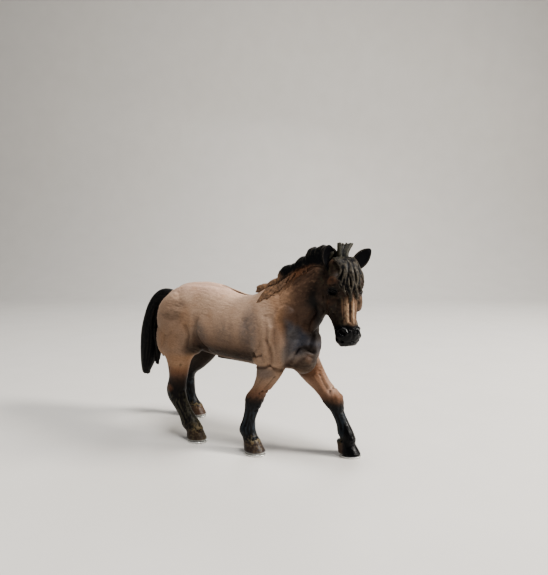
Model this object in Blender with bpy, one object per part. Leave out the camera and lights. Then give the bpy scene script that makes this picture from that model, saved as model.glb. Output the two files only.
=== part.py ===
"""A small standing horse whose hollow barrel is a coin bank: a slot in the back, a stopper in the belly.

The horse stands on z = 0, faces +X, and its left side is +Y. Tables are in millimetres.
"""

import math

import bmesh
import bpy
from mathutils import Matrix, Vector

MM = 0.001

# Driving dimensions.
RING_POINTS = 20
GAP = 0.3
CAST_VOXEL = 1.1
CAST_SMOOTHING = 5
CAST_TRIANGLES = 5800
MANE_TRIANGLES = 1000
LEG_SEAM_Z = 42.3
NECK_SEAM_SUM = 106.0
SHOE_THICKNESS = 0.9
SHOE_WEB = 2.1
SHOE_OPENING = 42.0
GROUND_Z = 1.3

# Coin parts: the largest coin that fits is 26 mm across and 2.4 mm thick.
SLOT_LENGTH = 27.5
SLOT_WIDTH = 2.8
SLOT_CENTRE_X = -4.0
STOPPER_CENTRE_X = -5.0
STOPPER_LENGTH = 27.0
STOPPER_WIDTH = 12.0
STOPPER_RIM = 1.3
STOPPER_RIM_TOP_Z = 46.0
STOPPER_TOP_Z = 51.0
CHAMBER_BACK_X = -36.0
CHAMBER_FRONT_X = 16.0
WALL_THICKNESS = 3.0
FLOOR_THICKNESS = 4.6

# Pegs that join the castings: radius, length, and where they stand.
PEG_RADIUS = 2.2
PEG_LENGTH = 5.0
NECK_PEG_RADIUS = 3.4
NECK_PEG = ((37.0, 0.0, 81.0), (26.5, 0.0, 70.5))
TAIL_PEG = ((-58.5, 0.0, 78.2), (-47.0, 0.0, 75.2))
LEG_PEGS = {
    "right_foreleg": (22.0, -10.2),
    "left_foreleg": (33.0, 10.2),
    "right_hind_leg": (-37.7, -12.0),
    "left_hind_leg": (-45.0, 11.6),
}

# Barrel, from the buttocks to the breast: x, top, bottom, half width, height of the widest point.
TORSO = (
    (-58.0, 69.0, 60.0, 5.0, 64.5),
    (-56.5, 74.0, 54.0, 9.0, 64.0),
    (-52.0, 79.3, 48.5, 12.3, 64.0),
    (-45.0, 82.6, 46.5, 14.2, 65.0),
    (-36.0, 84.3, 46.5, 14.9, 66.0),
    (-27.0, 84.6, 46.2, 14.8, 65.0),
    (-18.0, 84.0, 45.0, 14.9, 64.0),
    (-9.0, 81.6, 44.0, 15.4, 62.0),
    (0.0, 79.3, 43.6, 15.6, 61.0),
    (8.0, 80.4, 43.5, 15.0, 60.5),
    (16.0, 84.2, 43.5, 13.8, 60.0),
    (24.0, 85.0, 43.6, 13.2, 59.0),
    (31.0, 80.5, 44.0, 11.4, 58.0),
    (37.0, 73.0, 46.0, 8.6, 57.5),
    (41.5, 67.0, 49.5, 5.6, 57.5),
    (44.2, 62.0, 53.5, 2.8, 58.0),
)

# Neck, from the withers to the poll: crest x y z, throat x y z, half width.
NECK = (
    (14.0, 0.0, 83.5, 39.0, 0.0, 55.0, 9.0),
    (20.0, 0.0, 86.5, 43.0, 0.0, 60.0, 9.2),
    (27.0, 0.0, 91.0, 43.2, -0.2, 65.0, 8.0),
    (35.0, -0.4, 95.2, 44.6, -0.8, 69.0, 7.2),
    (43.0, -1.0, 97.4, 47.0, -1.4, 72.0, 6.8),
    (51.0, -2.0, 97.0, 50.4, -2.2, 75.0, 6.6),
)

# Head in its own axes: down from the poll, face, jaw, half width, share of the depth at the widest point.
HEAD_TOP = (61.2, -4.3, 97.0)
HEAD_YAW = -32.0
HEAD_NOD = 10.0
HEAD = (
    (-3.2, -4.5, -9.0, 3.2, 0.5),
    (-2.0, -1.6, -12.0, 5.2, 0.5),
    (1.0, 0.6, -15.0, 6.8, 0.5),
    (5.5, 2.2, -17.6, 8.1, 0.55),
    (10.0, 2.6, -19.0, 8.9, 0.6),
    (14.0, 2.0, -19.6, 8.2, 0.5),
    (18.0, 1.2, -19.2, 7.2, 0.45),
    (22.0, 0.6, -17.0, 6.0, 0.45),
    (25.5, 0.2, -13.8, 5.4, 0.45),
    (29.0, 0.0, -11.2, 5.6, 0.5),
    (32.0, 0.0, -9.4, 6.0, 0.5),
    (34.8, -1.0, -9.0, 5.8, 0.5),
    (37.4, -3.2, -7.4, 3.6, 0.5),
)

# Legs, from the body down: front x z, back x z, y, half width.
RIGHT_FORELEG = (
    (37.0, 66.0, 15.0, 66.0, -8.0, 5.5),
    (35.5, 57.0, 13.0, 55.0, -8.6, 5.6),
    (33.0, 49.0, 14.6, 47.5, -9.4, 5.4),
    (28.6, 42.0, 15.4, 42.0, -10.2, 5.0),
    (23.6, 35.6, 13.8, 35.6, -11.0, 4.3),
    (20.2, 31.5, 10.4, 31.0, -11.5, 4.4),
    (19.0, 27.5, 9.4, 27.5, -11.8, 4.2),
    (16.6, 23.0, 9.0, 23.0, -12.0, 3.3),
    (14.6, 18.0, 7.8, 18.0, -12.2, 3.0),
    (14.6, 13.6, 6.0, 13.0, -12.4, 3.7),
    (15.4, 11.0, 6.8, 10.4, -12.5, 3.7),
    (17.0, 8.8, 9.6, 7.8, -12.5, 3.5),
)
LEFT_FORELEG = (
    (38.0, 66.0, 19.0, 66.0, 8.0, 5.5),
    (38.0, 58.0, 19.5, 54.0, 8.8, 5.6),
    (37.8, 50.0, 21.6, 45.0, 9.6, 5.4),
    (40.6, 42.4, 29.2, 36.8, 10.6, 4.8),
    (43.8, 36.6, 36.6, 31.0, 11.4, 4.2),
    (49.6, 31.0, 40.4, 26.4, 12.0, 4.4),
    (51.0, 27.0, 43.6, 23.4, 12.2, 4.1),
    (51.4, 22.4, 46.0, 20.0, 12.3, 3.2),
    (53.4, 18.4, 47.8, 15.8, 12.4, 3.0),
    (55.8, 14.0, 48.4, 12.0, 12.5, 3.7),
    (57.2, 11.0, 49.8, 9.6, 12.5, 3.7),
    (58.6, 8.8, 51.4, 7.8, 12.5, 3.5),
)
RIGHT_HIND_LEG = (
    (-20.0, 66.0, -54.0, 66.0, -8.5, 6.5),
    (-19.5, 56.0, -54.6, 56.0, -9.2, 6.4),
    (-25.5, 48.0, -51.0, 47.0, -10.6, 6.0),
    (-29.8, 42.5, -45.6, 40.5, -12.0, 5.0),
    (-31.4, 35.0, -43.2, 33.0, -13.0, 4.4),
    (-31.8, 29.5, -44.4, 26.2, -13.8, 4.2),
    (-31.2, 24.2, -42.6, 21.4, -14.4, 4.0),
    (-28.4, 19.4, -37.4, 16.4, -15.0, 3.3),
    (-24.4, 15.0, -33.4, 12.4, -15.4, 3.1),
    (-20.6, 11.8, -31.4, 8.2, -15.7, 3.8),
    (-18.2, 9.4, -28.4, 6.2, -15.9, 3.8),
    (-16.4, 8.0, -26.0, 5.6, -16.0, 3.8),
)
LEFT_HIND_LEG = (
    (-24.0, 66.0, -56.0, 66.0, 8.5, 6.5),
    (-25.0, 56.0, -58.0, 56.0, 9.2, 6.4),
    (-28.5, 47.0, -58.0, 48.0, 10.6, 6.0),
    (-33.5, 40.0, -57.5, 42.0, 11.6, 5.2),
    (-42.0, 33.2, -58.6, 35.5, 12.6, 4.6),
    (-50.6, 27.6, -63.6, 28.6, 13.4, 4.5),
    (-52.2, 22.4, -63.4, 21.8, 14.0, 4.1),
    (-52.4, 17.6, -60.6, 16.4, 14.6, 3.4),
    (-52.2, 14.0, -59.6, 12.0, 15.0, 3.3),
    (-50.6, 10.6, -58.4, 8.8, 15.3, 3.9),
    (-48.6, 8.8, -56.4, 6.6, 15.6, 3.8),
    (-46.6, 7.8, -54.2, 5.8, 15.8, 3.8),
)

LEGS = {
    "right_foreleg": RIGHT_FORELEG,
    "left_foreleg": LEFT_FORELEG,
    "right_hind_leg": RIGHT_HIND_LEG,
    "left_hind_leg": LEFT_HIND_LEG,
}

# Hooves and shoes: x and y of the sole's centre, and the way the toe points, in degrees.
HOOVES = {
    "right_foreleg": (15.2, -12.5, -4.0),
    "left_foreleg": (54.8, 12.5, 4.0),
    "right_hind_leg": (-20.8, -16.0, -4.0),
    "left_hind_leg": (-50.4, 15.8, 6.0),
}
HOOF_LENGTH = 11.4
HOOF_WIDTH = 10.0
HOOF_HEIGHT = 6.2

# Tail, from the dock to the tip: x, y, z, half width, half thickness.
TAIL = (
    (-50.0, 0.0, 75.2, 3.2, 2.6),
    (-56.0, 0.0, 76.6, 3.6, 3.0),
    (-62.0, 0.2, 76.0, 4.4, 3.6),
    (-67.4, 0.4, 71.0, 5.6, 4.2),
    (-70.8, 0.6, 63.0, 6.6, 4.8),
    (-73.2, 0.8, 54.0, 7.2, 5.4),
    (-75.0, 1.0, 45.0, 6.8, 5.4),
    (-77.8, 1.0, 35.0, 4.6, 4.0),
    (-79.8, 1.0, 28.0, 2.4, 2.4),
    (-80.2, 1.0, 26.2, 1.2, 1.2),
)

# Ears: root on the head (down, forward, side), sideways lean and length by side (-1 right, 1 left),
# then height, half width, half thickness.
EAR_BASE = (1.5, -5.0, 6.0)
EAR_LEAN = {-1: 0.0, 1: 0.98}
EAR_LENGTH = {-1: 0.93, 1: 1.15}
EAR = (
    (0.0, 2.5, 1.7),
    (3.0, 3.4, 1.8),
    (6.0, 3.7, 1.5),
    (9.0, 2.8, 1.1),
    (11.3, 0.9, 0.5),
)

# Mane: x and z of each lock on the crest, its half height, and how far its fall reaches down the left side.
MANE = (
    (12.4, 83.0, 2.8, 4.5),
    (16.5, 84.4, 3.2, 5.5),
    (21.0, 86.4, 3.4, 6.5),
    (25.6, 89.6, 3.6, 7.0),
    (30.2, 92.6, 3.8, 7.5),
    (35.0, 95.2, 4.0, 7.5),
    (40.0, 97.4, 4.2, 7.5),
    (45.0, 99.2, 4.4, 7.0),
    (50.0, 99.6, 4.4, 6.0),
)

# Forelock and tuft in the head's axes: down, centre forward, half width, half thickness.
FORELOCK = (
    (-10.4, -5.0, 2.4, 0.8),
    (-8.6, -4.6, 3.2, 1.2),
    (-5.0, -3.4, 3.0, 1.8),
    (-1.0, -1.6, 3.4, 2.8),
    (3.0, 1.0, 4.6, 2.2),
    (7.0, 2.2, 4.6, 1.8),
    (11.0, 2.4, 3.6, 1.4),
    (15.0, 1.8, 2.2, 1.2),
    (17.6, 1.2, 0.9, 0.9),
)

BODY_COLOUR = (0.42, 0.30, 0.23, 1.0)
DARK_COLOUR = (0.012, 0.011, 0.012, 1.0)
SHOE_COLOUR = (0.62, 0.62, 0.60, 1.0)
STOPPER_COLOUR = (0.05, 0.045, 0.045, 1.0)


def spline(stations, steps):
    """The stations with steps - 1 rows added in each span, on a Catmull-Rom curve."""
    rows = []
    last = len(stations) - 1
    for index in range(last):
        before = stations[max(index - 1, 0)]
        start = stations[index]
        end = stations[index + 1]
        after = stations[min(index + 2, last)]
        for step in range(steps):
            t = step / steps
            rows.append(
                tuple(
                    b
                    + 0.5 * t * ((c - a) + t * ((2 * a - 5 * b + 4 * c - d) + t * (3 * b - a - 3 * c + d)))
                    for a, b, c, d in zip(before, start, end, after)
                )
            )
    rows.append(stations[last])
    return rows


def section(top, bottom, side, half_width, widest=0.5, pinch=1.0):
    """An egg-shaped ring between two points; pinch over 1 narrows its top, as at a crest."""
    centre = bottom.lerp(top, widest)
    ring = []
    for index in range(RING_POINTS):
        angle = 2 * math.pi * index / RING_POINTS
        across, along = math.cos(angle), math.sin(angle)
        power = pinch if along > 0 else 1.0
        width = math.copysign(abs(across) ** power, across) * half_width
        reach = (top - centre) * along if along > 0 else (centre - bottom) * along
        ring.append(centre + side * width + reach)
    return ring


def new_object(name, mesh, material=None):
    obj = bpy.data.objects.new(name, mesh)
    bpy.context.scene.collection.objects.link(obj)
    if material:
        mesh.materials.clear()
        mesh.materials.append(material)
    return obj


def loft(name, rings):
    """A closed skin through rings of equally many points, in millimetres."""
    shape = bmesh.new()
    loops = [[shape.verts.new(point * MM) for point in ring] for ring in rings]
    for first, second in zip(loops, loops[1:]):
        for index in range(len(first)):
            after = (index + 1) % len(first)
            shape.faces.new((first[index], first[after], second[after], second[index]))
    shape.faces.new(list(reversed(loops[0])))
    shape.faces.new(loops[-1])
    bmesh.ops.recalc_face_normals(shape, faces=shape.faces)
    mesh = bpy.data.meshes.new(name)
    shape.to_mesh(mesh)
    shape.free()
    return new_object(name, mesh)


def lump(name, centre, radii, turn=(0.0, 0.0, 0.0)):
    """An ellipsoid, for a muscle or a bony point."""
    shape = bmesh.new()
    bmesh.ops.create_icosphere(shape, subdivisions=3, radius=1.0)
    spin = Matrix.Rotation(math.radians(turn[2]), 4, "Z") @ Matrix.Rotation(math.radians(turn[1]), 4, "Y")
    spin = spin @ Matrix.Rotation(math.radians(turn[0]), 4, "X")
    place = Matrix.Translation(Vector(centre) * MM) @ spin @ Matrix.Diagonal((*[r * MM for r in radii], 1.0))
    bmesh.ops.transform(shape, matrix=place, verts=shape.verts)
    mesh = bpy.data.meshes.new(name)
    shape.to_mesh(mesh)
    shape.free()
    return new_object(name, mesh)


def prism(name, outline, low, high):
    """An upright solid over an outline of x, y points, from one height to another."""
    return loft(name, [[Vector((x, y, z)) for x, y in outline] for z in (low, high)])


def block(name, low, high):
    (x0, y0, z0), (x1, y1, z1) = low, high
    return prism(name, [(x0, y0), (x1, y0), (x1, y1), (x0, y1)], z0, z1)


def rounded_slot(centre_x, length, width, points=9):
    """The outline of a slot with round ends that runs along X."""
    radius = width / 2
    reach = length / 2 - radius
    outline = []
    for sign in (1, -1):
        for index in range(points + 1):
            angle = math.pi * index / points - math.pi / 2
            along = reach + radius * math.cos(angle)
            outline.append((centre_x + sign * along, sign * radius * math.sin(angle)))
    return outline


def baked(obj):
    """The object's mesh with its modifiers applied; the object is removed."""
    bpy.context.view_layer.update()
    mesh = bpy.data.meshes.new_from_object(obj.evaluated_get(bpy.context.evaluated_depsgraph_get()))
    bpy.data.objects.remove(obj)
    return mesh


def blended(name, parts, voxel, smoothing, triangles):
    """One skin over overlapping parts, with its creases softened, thinned to a number of triangles."""
    joined = bmesh.new()
    for part in parts:
        joined.from_mesh(part.data)
        bpy.data.objects.remove(part)
    mesh = bpy.data.meshes.new(name)
    joined.to_mesh(mesh)
    joined.free()
    obj = new_object(name, mesh)
    skin = obj.modifiers.new("skin", "REMESH")
    skin.mode = "VOXEL"
    skin.voxel_size = voxel * MM
    soften = obj.modifiers.new("soften", "SMOOTH")
    soften.iterations = smoothing
    mesh = baked(obj)
    obj = new_object(name, mesh)
    thin = obj.modifiers.new("thin", "DECIMATE")
    thin.ratio = min(1.0, triangles / (2 * len(mesh.polygons)))
    return baked(obj)


def helper(obj):
    obj.hide_render = True
    obj.display_type = "WIRE"
    return obj


def cut(obj, cutter, operation="DIFFERENCE"):
    modifier = obj.modifiers.new(cutter.name, "BOOLEAN")
    modifier.operation = operation
    modifier.object = cutter
    modifier.solver = "EXACT"


def painted(name, colour, roughness, metallic=0.0):
    material = bpy.data.materials.new(name)
    material.use_nodes = True
    surface = material.node_tree.nodes["Principled BSDF"]
    surface.inputs["Base Color"].default_value = colour
    surface.inputs["Roughness"].default_value = roughness
    surface.inputs["Metallic"].default_value = metallic
    return material


def torso_parts():
    rings = []
    for x, top, bottom, half_width, wide_z in spline(TORSO, 3):
        widest = (wide_z - bottom) / (top - bottom)
        high, low = Vector((x, 0, top)), Vector((x, 0, bottom))
        rings.append(section(high, low, Vector((0, 1, 0)), half_width, widest))
    parts = [loft("torso", rings)]
    for side in (-1, 1):
        parts += [
            lump("haunch", (-42, 8.2 * side, 64), (14.5, 8.2, 15.5), (0, 12, 0)),
            lump("stifle", (-30, 9.5 * side, 53), (7.5, 5.6, 10.5), (0, -20, 0)),
            lump("thigh", (-48, 9.2 * side, 54), (8.5, 6.0, 12.0), (0, 10, 0)),
            lump("shoulder", (27, 7.4 * side, 62), (9.5, 6.0, 15.5), (0, 24, 0)),
            lump("breast", (33.5, 5.6 * side, 54), (7.0, 6.0, 9.0), (0, 10, 0)),
            lump("elbow", (19, 9.2 * side, 50), (6.0, 4.6, 8.0), (0, 20, 0)),
        ]
    return parts


def neck_part():
    rings = []
    for row in spline(NECK, 3):
        crest, throat = Vector(row[0:3]), Vector(row[3:6])
        rings.append(section(crest, throat, Vector((0, 1, 0)), row[6], 0.45, 1.35))
    return loft("neck", rings)


def head_axes():
    """The head's origin and its down, forward and left directions."""
    yaw, nod = math.radians(HEAD_YAW), math.radians(HEAD_NOD)
    ahead = Vector((math.cos(yaw), math.sin(yaw), 0))
    down = ahead * math.sin(nod) + Vector((0, 0, -math.cos(nod)))
    forward = ahead * math.cos(nod) + Vector((0, 0, math.sin(nod)))
    return Vector(HEAD_TOP), down, forward, Vector((-math.sin(yaw), math.cos(yaw), 0))


def on_head(down_mm, forward_mm, left_mm):
    origin, down, forward, left = head_axes()
    return origin + down * down_mm + forward * forward_mm + left * left_mm


def head_parts():
    left = head_axes()[3]
    rings = [
        section(on_head(u, face, 0), on_head(u, jaw, 0), left, half_width, widest)
        for u, face, jaw, half_width, widest in spline(HEAD, 2)
    ]
    parts = [loft("head", rings), lump("throat", (47.3, -3.6, 76.4), (3.8, 4.4, 6.0))]
    for side in (-1, 1):
        parts.append(lump("brow", on_head(8.6, -1.8, side * 5.6), (3.6, 3.2, 3.6)))
        parts.append(lump("cheekbone", on_head(16.4, -5.0, side * 6.0), (2.8, 3.0, 5.6)))
    return parts


def leg_part(name, rows):
    rings = []
    for front_x, front_z, back_x, back_z, y, half_width in spline(rows, 3):
        front, back = Vector((front_x, y, front_z)), Vector((back_x, y, back_z))
        rings.append(section(front, back, Vector((0, 1, 0)), half_width))
    return loft(name, rings)


def hoof_part(name, centre_x, centre_y, toe):
    """A hoof that narrows upwards and leans back, over a sole at the top of the shoe."""
    rings = []
    sole = GROUND_Z + SHOE_THICKNESS + GAP
    turn = Matrix.Rotation(math.radians(toe), 3, "Z")
    for share in (0.0, 0.5, 1.0):
        scale = 1.0 - 0.28 * share
        shift = Vector((-2.6 * share, 0, sole + HOOF_HEIGHT * share))
        ring = []
        for index in range(RING_POINTS):
            angle = 2 * math.pi * index / RING_POINTS
            point = Vector((HOOF_LENGTH / 2 * math.cos(angle), HOOF_WIDTH / 2 * math.sin(angle), 0)) * scale
            ring.append(Vector((centre_x, centre_y, 0)) + turn @ (point + shift))
        rings.append(ring)
    return loft(name, rings)


def shoe(name, centre_x, centre_y, toe, material):
    """A flat horseshoe, open at the heel."""
    opening = math.radians(SHOE_OPENING)
    turn = Matrix.Rotation(math.radians(toe), 3, "Z")
    points = 18
    outline = []
    for inset in (0.0, SHOE_WEB):
        arm = []
        for index in range(points + 1):
            angle = -math.pi + opening + (2 * math.pi - 2 * opening) * index / points
            along, across = HOOF_LENGTH / 2 - inset, HOOF_WIDTH / 2 - inset
            reach = Vector((along * math.cos(angle), across * math.sin(angle), 0))
            arm.append(Vector((centre_x, centre_y, 0)) + turn @ reach)
        outline += arm if inset == 0.0 else reversed(arm)
    obj = prism(name, [(p.x, p.y) for p in outline], GROUND_Z, GROUND_Z + SHOE_THICKNESS)
    obj.data.materials.append(material)
    return obj


def slab(name, outline, low_y, high_y):
    """A solid over an outline of x, z points, from one y to another."""
    return loft(name, [[Vector((x, y, z)) for x, z in outline] for y in (low_y, high_y)])


def rod(name, start, end, radius):
    """A round bar between two points."""
    start, end = Vector(start), Vector(end)
    turn = (end - start).to_track_quat("Z", "Y")
    rings = []
    for point in (start, end):
        ring = []
        for index in range(24):
            angle = math.pi * index / 12
            ring.append(point + turn @ Vector((radius * math.cos(angle), radius * math.sin(angle), 0)))
        rings.append(ring)
    return loft(name, rings)


def chamber():
    """The coin space: the barrel's own rings, a wall's thickness further in."""
    rings = []
    for x, top, bottom, half_width, wide_z in spline(TORSO, 3):
        if CHAMBER_BACK_X <= x <= CHAMBER_FRONT_X:
            low, high = bottom + FLOOR_THICKNESS, top - WALL_THICKNESS
            widest = (wide_z - low) / (high - low)
            roof, floor = Vector((x, 0, high)), Vector((x, 0, low))
            rings.append(section(roof, floor, Vector((0, 1, 0)), half_width - WALL_THICKNESS, widest))
    return loft("chamber", rings)


def ear(name, side, material):
    """A solid leaf-shaped ear whose root reaches into the head."""
    base = on_head(*EAR_BASE[:2], side * EAR_BASE[2])
    _, down, forward, left = head_axes()
    up = (left * EAR_LEAN[side] - down).normalized()
    across = (left - up * left.dot(up)).normalized()
    thick = up.cross(across)
    rings = []
    for height, half_width, half_thickness in spline(EAR, 2):
        centre = base + up * height * EAR_LENGTH[side]
        reach = across * half_width
        rings.append(section(centre + reach, centre - reach, thick, half_thickness))
    obj = loft(name, rings)
    obj.data.materials.append(material)
    return obj


def ribbon(name, rows, material):
    """A lock of hair: ring centre, half width across the horse, half depth along the horse."""
    rings = []
    for x, y, z, half_width, half_depth in spline(rows, 2):
        rings.append((Vector((x, y, z)), half_width, half_depth))
    loops = []
    for index, (centre, half_width, half_depth) in enumerate(rings):
        ahead = rings[min(index + 1, len(rings) - 1)][0] - rings[max(index - 1, 0)][0]
        deep = ahead.cross(Vector((0, 1, 0))).normalized()
        reach = deep * half_depth
        loops.append(section(centre + reach, centre - reach, Vector((0, 1, 0)), half_width))
    obj = loft(name, loops)
    if material:
        obj.data.materials.append(material)
    return obj


def mane_part():
    """Locks side by side along the crest, heaped to the left of the neck."""
    locks = []
    for index, (x, z, height, fall) in enumerate(MANE):
        locks.append(lump(f"lock_{index}", (x, 0.8, z), (4.2, 3.0, height), (0, -35, 0)))
        locks.append(lump(f"fall_{index}", (x + 0.6, 5.0, z - 0.5 * fall), (3.8, 3.4, fall), (-22, -30, 0)))
    return blended("mane_skin", locks, 0.9, 4, MANE_TRIANGLES)


def forelock_part():
    """Hair down the forehead and a tuft that stands between the ears."""
    rings = []
    left = head_axes()[3]
    for u, face, half_width, half_thickness in spline(FORELOCK, 2):
        front, back = on_head(u, face + half_thickness, 0), on_head(u, face - half_thickness, 0)
        rings.append(section(front, back, left, half_width))
    return loft("forelock_loft", rings)


def stopper(casting, material):
    """The belly stopper: a flange that carries on the belly's curve, a plug above it, a finger notch below."""
    flange = new_object("flange", casting.copy())
    rim = STOPPER_RIM - GAP
    rim_outline = rounded_slot(STOPPER_CENTRE_X, STOPPER_LENGTH + 2 * rim, STOPPER_WIDTH + 2 * rim)
    cut(flange, helper(prism("flange_region", rim_outline, 38, STOPPER_RIM_TOP_Z - GAP)), "INTERSECT")
    plug_outline = rounded_slot(STOPPER_CENTRE_X, STOPPER_LENGTH - 2 * GAP, STOPPER_WIDTH - 2 * GAP)
    cut(flange, helper(prism("plug", plug_outline, STOPPER_RIM_TOP_Z - 1.0, STOPPER_TOP_Z)), "UNION")
    cut(flange, helper(lump("finger_notch", (STOPPER_CENTRE_X, 0, 43.4), (5.0, 1.8, 2.2))))
    mesh = baked(flange)
    mesh.transform(Matrix.Translation((-STOPPER_CENTRE_X * MM, 0, -STOPPER_RIM_TOP_Z * MM)))
    obj = new_object("belly_stopper", mesh, material)
    obj.location = (STOPPER_CENTRE_X * MM, 0, STOPPER_RIM_TOP_Z * MM)
    return obj


def keep(name, casting, region, material):
    """The part of the casting inside a region."""
    obj = new_object(name, casting.copy(), material)
    cut(obj, helper(region), "INTERSECT")
    return obj


def shade_round():
    """Smooth shading, with the hard edges of seams and cuts kept sharp."""
    for obj in bpy.data.objects:
        if not obj.hide_render:
            obj.data.shade_smooth()
            obj.data.set_sharp_from_angle(angle=math.radians(40))


def stand_at_origin():
    """Moves everything so that the shoes stand on z = 0 and the part is centred over the origin."""
    bpy.context.view_layer.update()
    graph = bpy.context.evaluated_depsgraph_get()
    corners = []
    for obj in bpy.data.objects:
        if not obj.hide_render:
            shape = obj.evaluated_get(graph)
            corners += [shape.matrix_world @ Vector(corner) for corner in shape.bound_box]
    centre = [(min(c[axis] for c in corners) + max(c[axis] for c in corners)) / 2 for axis in (0, 1)]
    for obj in bpy.data.objects:
        obj.location -= Vector((centre[0], centre[1], GROUND_Z * MM))


def main():
    for obj in list(bpy.data.objects):
        bpy.data.objects.remove(obj)
    coat = painted("coat", BODY_COLOUR, 0.6)
    hair = painted("hair", DARK_COLOUR, 0.5)
    bright = painted("silver_paint", SHOE_COLOUR, 0.35, 0.8)
    soft = painted("soft_vinyl", STOPPER_COLOUR, 0.7)

    parts = torso_parts() + [neck_part()] + head_parts()
    for name, rows in LEGS.items():
        parts.append(leg_part(name + "_loft", rows))
        parts.append(hoof_part(name + "_hoof", *HOOVES[name]))
    casting = blended("casting", parts, CAST_VOXEL, CAST_SMOOTHING, CAST_TRIANGLES)
    clearance = helper(new_object("clearance", casting.copy()))
    grow = clearance.modifiers.new("grow", "DISPLACE")
    grow.strength = GAP * MM
    grow.mid_level = 0.0

    # The barrel in two halves, with the coin space, the slot, the stopper's hole and the sockets cut out.
    half = GAP / 2
    seam = LEG_SEAM_Z + half
    neck_line = NECK_SEAM_SUM - half * math.sqrt(2)
    torso_outline = [(-90, seam), (neck_line - seam, seam), (neck_line - 120, 120), (-90, 120)]
    hollows = [
        chamber(),
        prism("slot", rounded_slot(SLOT_CENTRE_X, SLOT_LENGTH, SLOT_WIDTH), 68, 95),
        prism("stopper_hole", rounded_slot(STOPPER_CENTRE_X, STOPPER_LENGTH, STOPPER_WIDTH), 38, 56),
        prism(
            "stopper_recess",
            rounded_slot(STOPPER_CENTRE_X, STOPPER_LENGTH + 2 * STOPPER_RIM, STOPPER_WIDTH + 2 * STOPPER_RIM),
            38,
            STOPPER_RIM_TOP_Z,
        ),
        rod("neck_socket", NECK_PEG[0], NECK_PEG[1], NECK_PEG_RADIUS + GAP),
        rod("tail_socket", TAIL_PEG[0], TAIL_PEG[1], PEG_RADIUS + GAP),
    ]
    for name, (x, y) in LEG_PEGS.items():
        top = LEG_SEAM_Z + PEG_LENGTH + GAP
        hollows.append(rod(name + "_socket", (x, y, 36), (x, y, top), PEG_RADIUS + GAP))
    shell = new_object("shell", casting.copy())
    for hollow in hollows:
        cut(shell, helper(hollow))
    shell = baked(shell)
    for name, low_y, high_y in (("torso_right_half", -40, -half), ("torso_left_half", half, 40)):
        keep(name, shell, slab(name + "_region", torso_outline, low_y, high_y), coat)

    neck_line = NECK_SEAM_SUM + half * math.sqrt(2)
    front_outline = [(neck_line - 40, 40), (130, 40), (130, 130), (neck_line - 130, 130)]
    front = keep("neck_and_head", casting, slab("front_region", front_outline, -40, 40), coat)
    start, end = Vector(NECK_PEG[0]), Vector(NECK_PEG[1])
    cut(front, helper(rod("neck_peg", start, end - (end - start).normalized() * GAP, NECK_PEG_RADIUS)), "UNION")

    for name, (x, y) in LEG_PEGS.items():
        low, high = (min(90 * x, 0), min(90 * y, 0), -5), (max(90 * x, 0), max(90 * y, 0), LEG_SEAM_Z - half)
        region = block(name + "_region", low, high)
        leg = keep(name, casting, region, coat)
        cut(leg, helper(rod(name + "_peg", (x, y, 36), (x, y, LEG_SEAM_Z + PEG_LENGTH), PEG_RADIUS)), "UNION")
        shoe(name.replace("_foreleg", "_fore").replace("_hind_leg", "_hind") + "_shoe", *HOOVES[name], bright)

    for name, side in (("right_ear", -1), ("left_ear", 1)):
        cut(ear(name, side, hair), clearance)

    stopper(casting, soft)
    mane = new_object("mane", mane_part(), hair)
    cut(mane, clearance)
    forelock = forelock_part()
    forelock.name = "forelock"
    forelock.data.materials.append(hair)
    cut(forelock, clearance)
    tail = ribbon("tail", TAIL, hair)
    cut(tail, clearance)
    start, end = Vector(TAIL_PEG[0]), Vector(TAIL_PEG[1])
    cut(tail, helper(rod("tail_peg", start, end - (end - start).normalized() * GAP, PEG_RADIUS)), "UNION")
    shade_round()
    stand_at_origin()


if __name__ == "__main__":
    main()
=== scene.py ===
"""The look of the walking horse coin bank: sculpted and hand-painted vinyl, in a plain soft studio."""

import math

import bmesh
import bpy
import numpy as np
from mathutils import Matrix, Vector
from mathutils.bvhtree import BVHTree


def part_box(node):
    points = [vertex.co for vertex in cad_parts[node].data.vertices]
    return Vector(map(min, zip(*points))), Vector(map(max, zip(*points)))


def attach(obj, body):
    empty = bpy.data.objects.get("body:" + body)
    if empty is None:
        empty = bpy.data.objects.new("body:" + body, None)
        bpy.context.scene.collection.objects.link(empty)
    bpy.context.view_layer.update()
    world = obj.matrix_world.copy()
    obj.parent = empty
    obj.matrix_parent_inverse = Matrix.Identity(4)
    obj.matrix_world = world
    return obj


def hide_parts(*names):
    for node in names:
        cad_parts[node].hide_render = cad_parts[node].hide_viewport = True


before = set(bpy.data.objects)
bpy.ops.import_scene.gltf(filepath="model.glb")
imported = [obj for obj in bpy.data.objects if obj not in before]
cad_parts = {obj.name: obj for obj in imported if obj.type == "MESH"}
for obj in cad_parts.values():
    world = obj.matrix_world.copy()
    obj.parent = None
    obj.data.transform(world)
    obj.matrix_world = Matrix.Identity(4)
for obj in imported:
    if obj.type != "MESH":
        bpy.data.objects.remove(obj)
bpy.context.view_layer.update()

MM = 0.001
SIDE_AXIS = Vector((0, 1, 0))

# The sculpting frame: millimetres, horse facing +X, its left +Y, with the ground a little above z = 0.
STOPPER_CENTRE_X = -5.0
GROUND_Z = 1.3
low, high = (Vector(corner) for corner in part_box("belly_stopper"))
SHIFT = Vector(((low.x + high.x) / 2 / MM - STOPPER_CENTRE_X, (low.y + high.y) / 2 / MM, -GROUND_Z))

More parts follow.
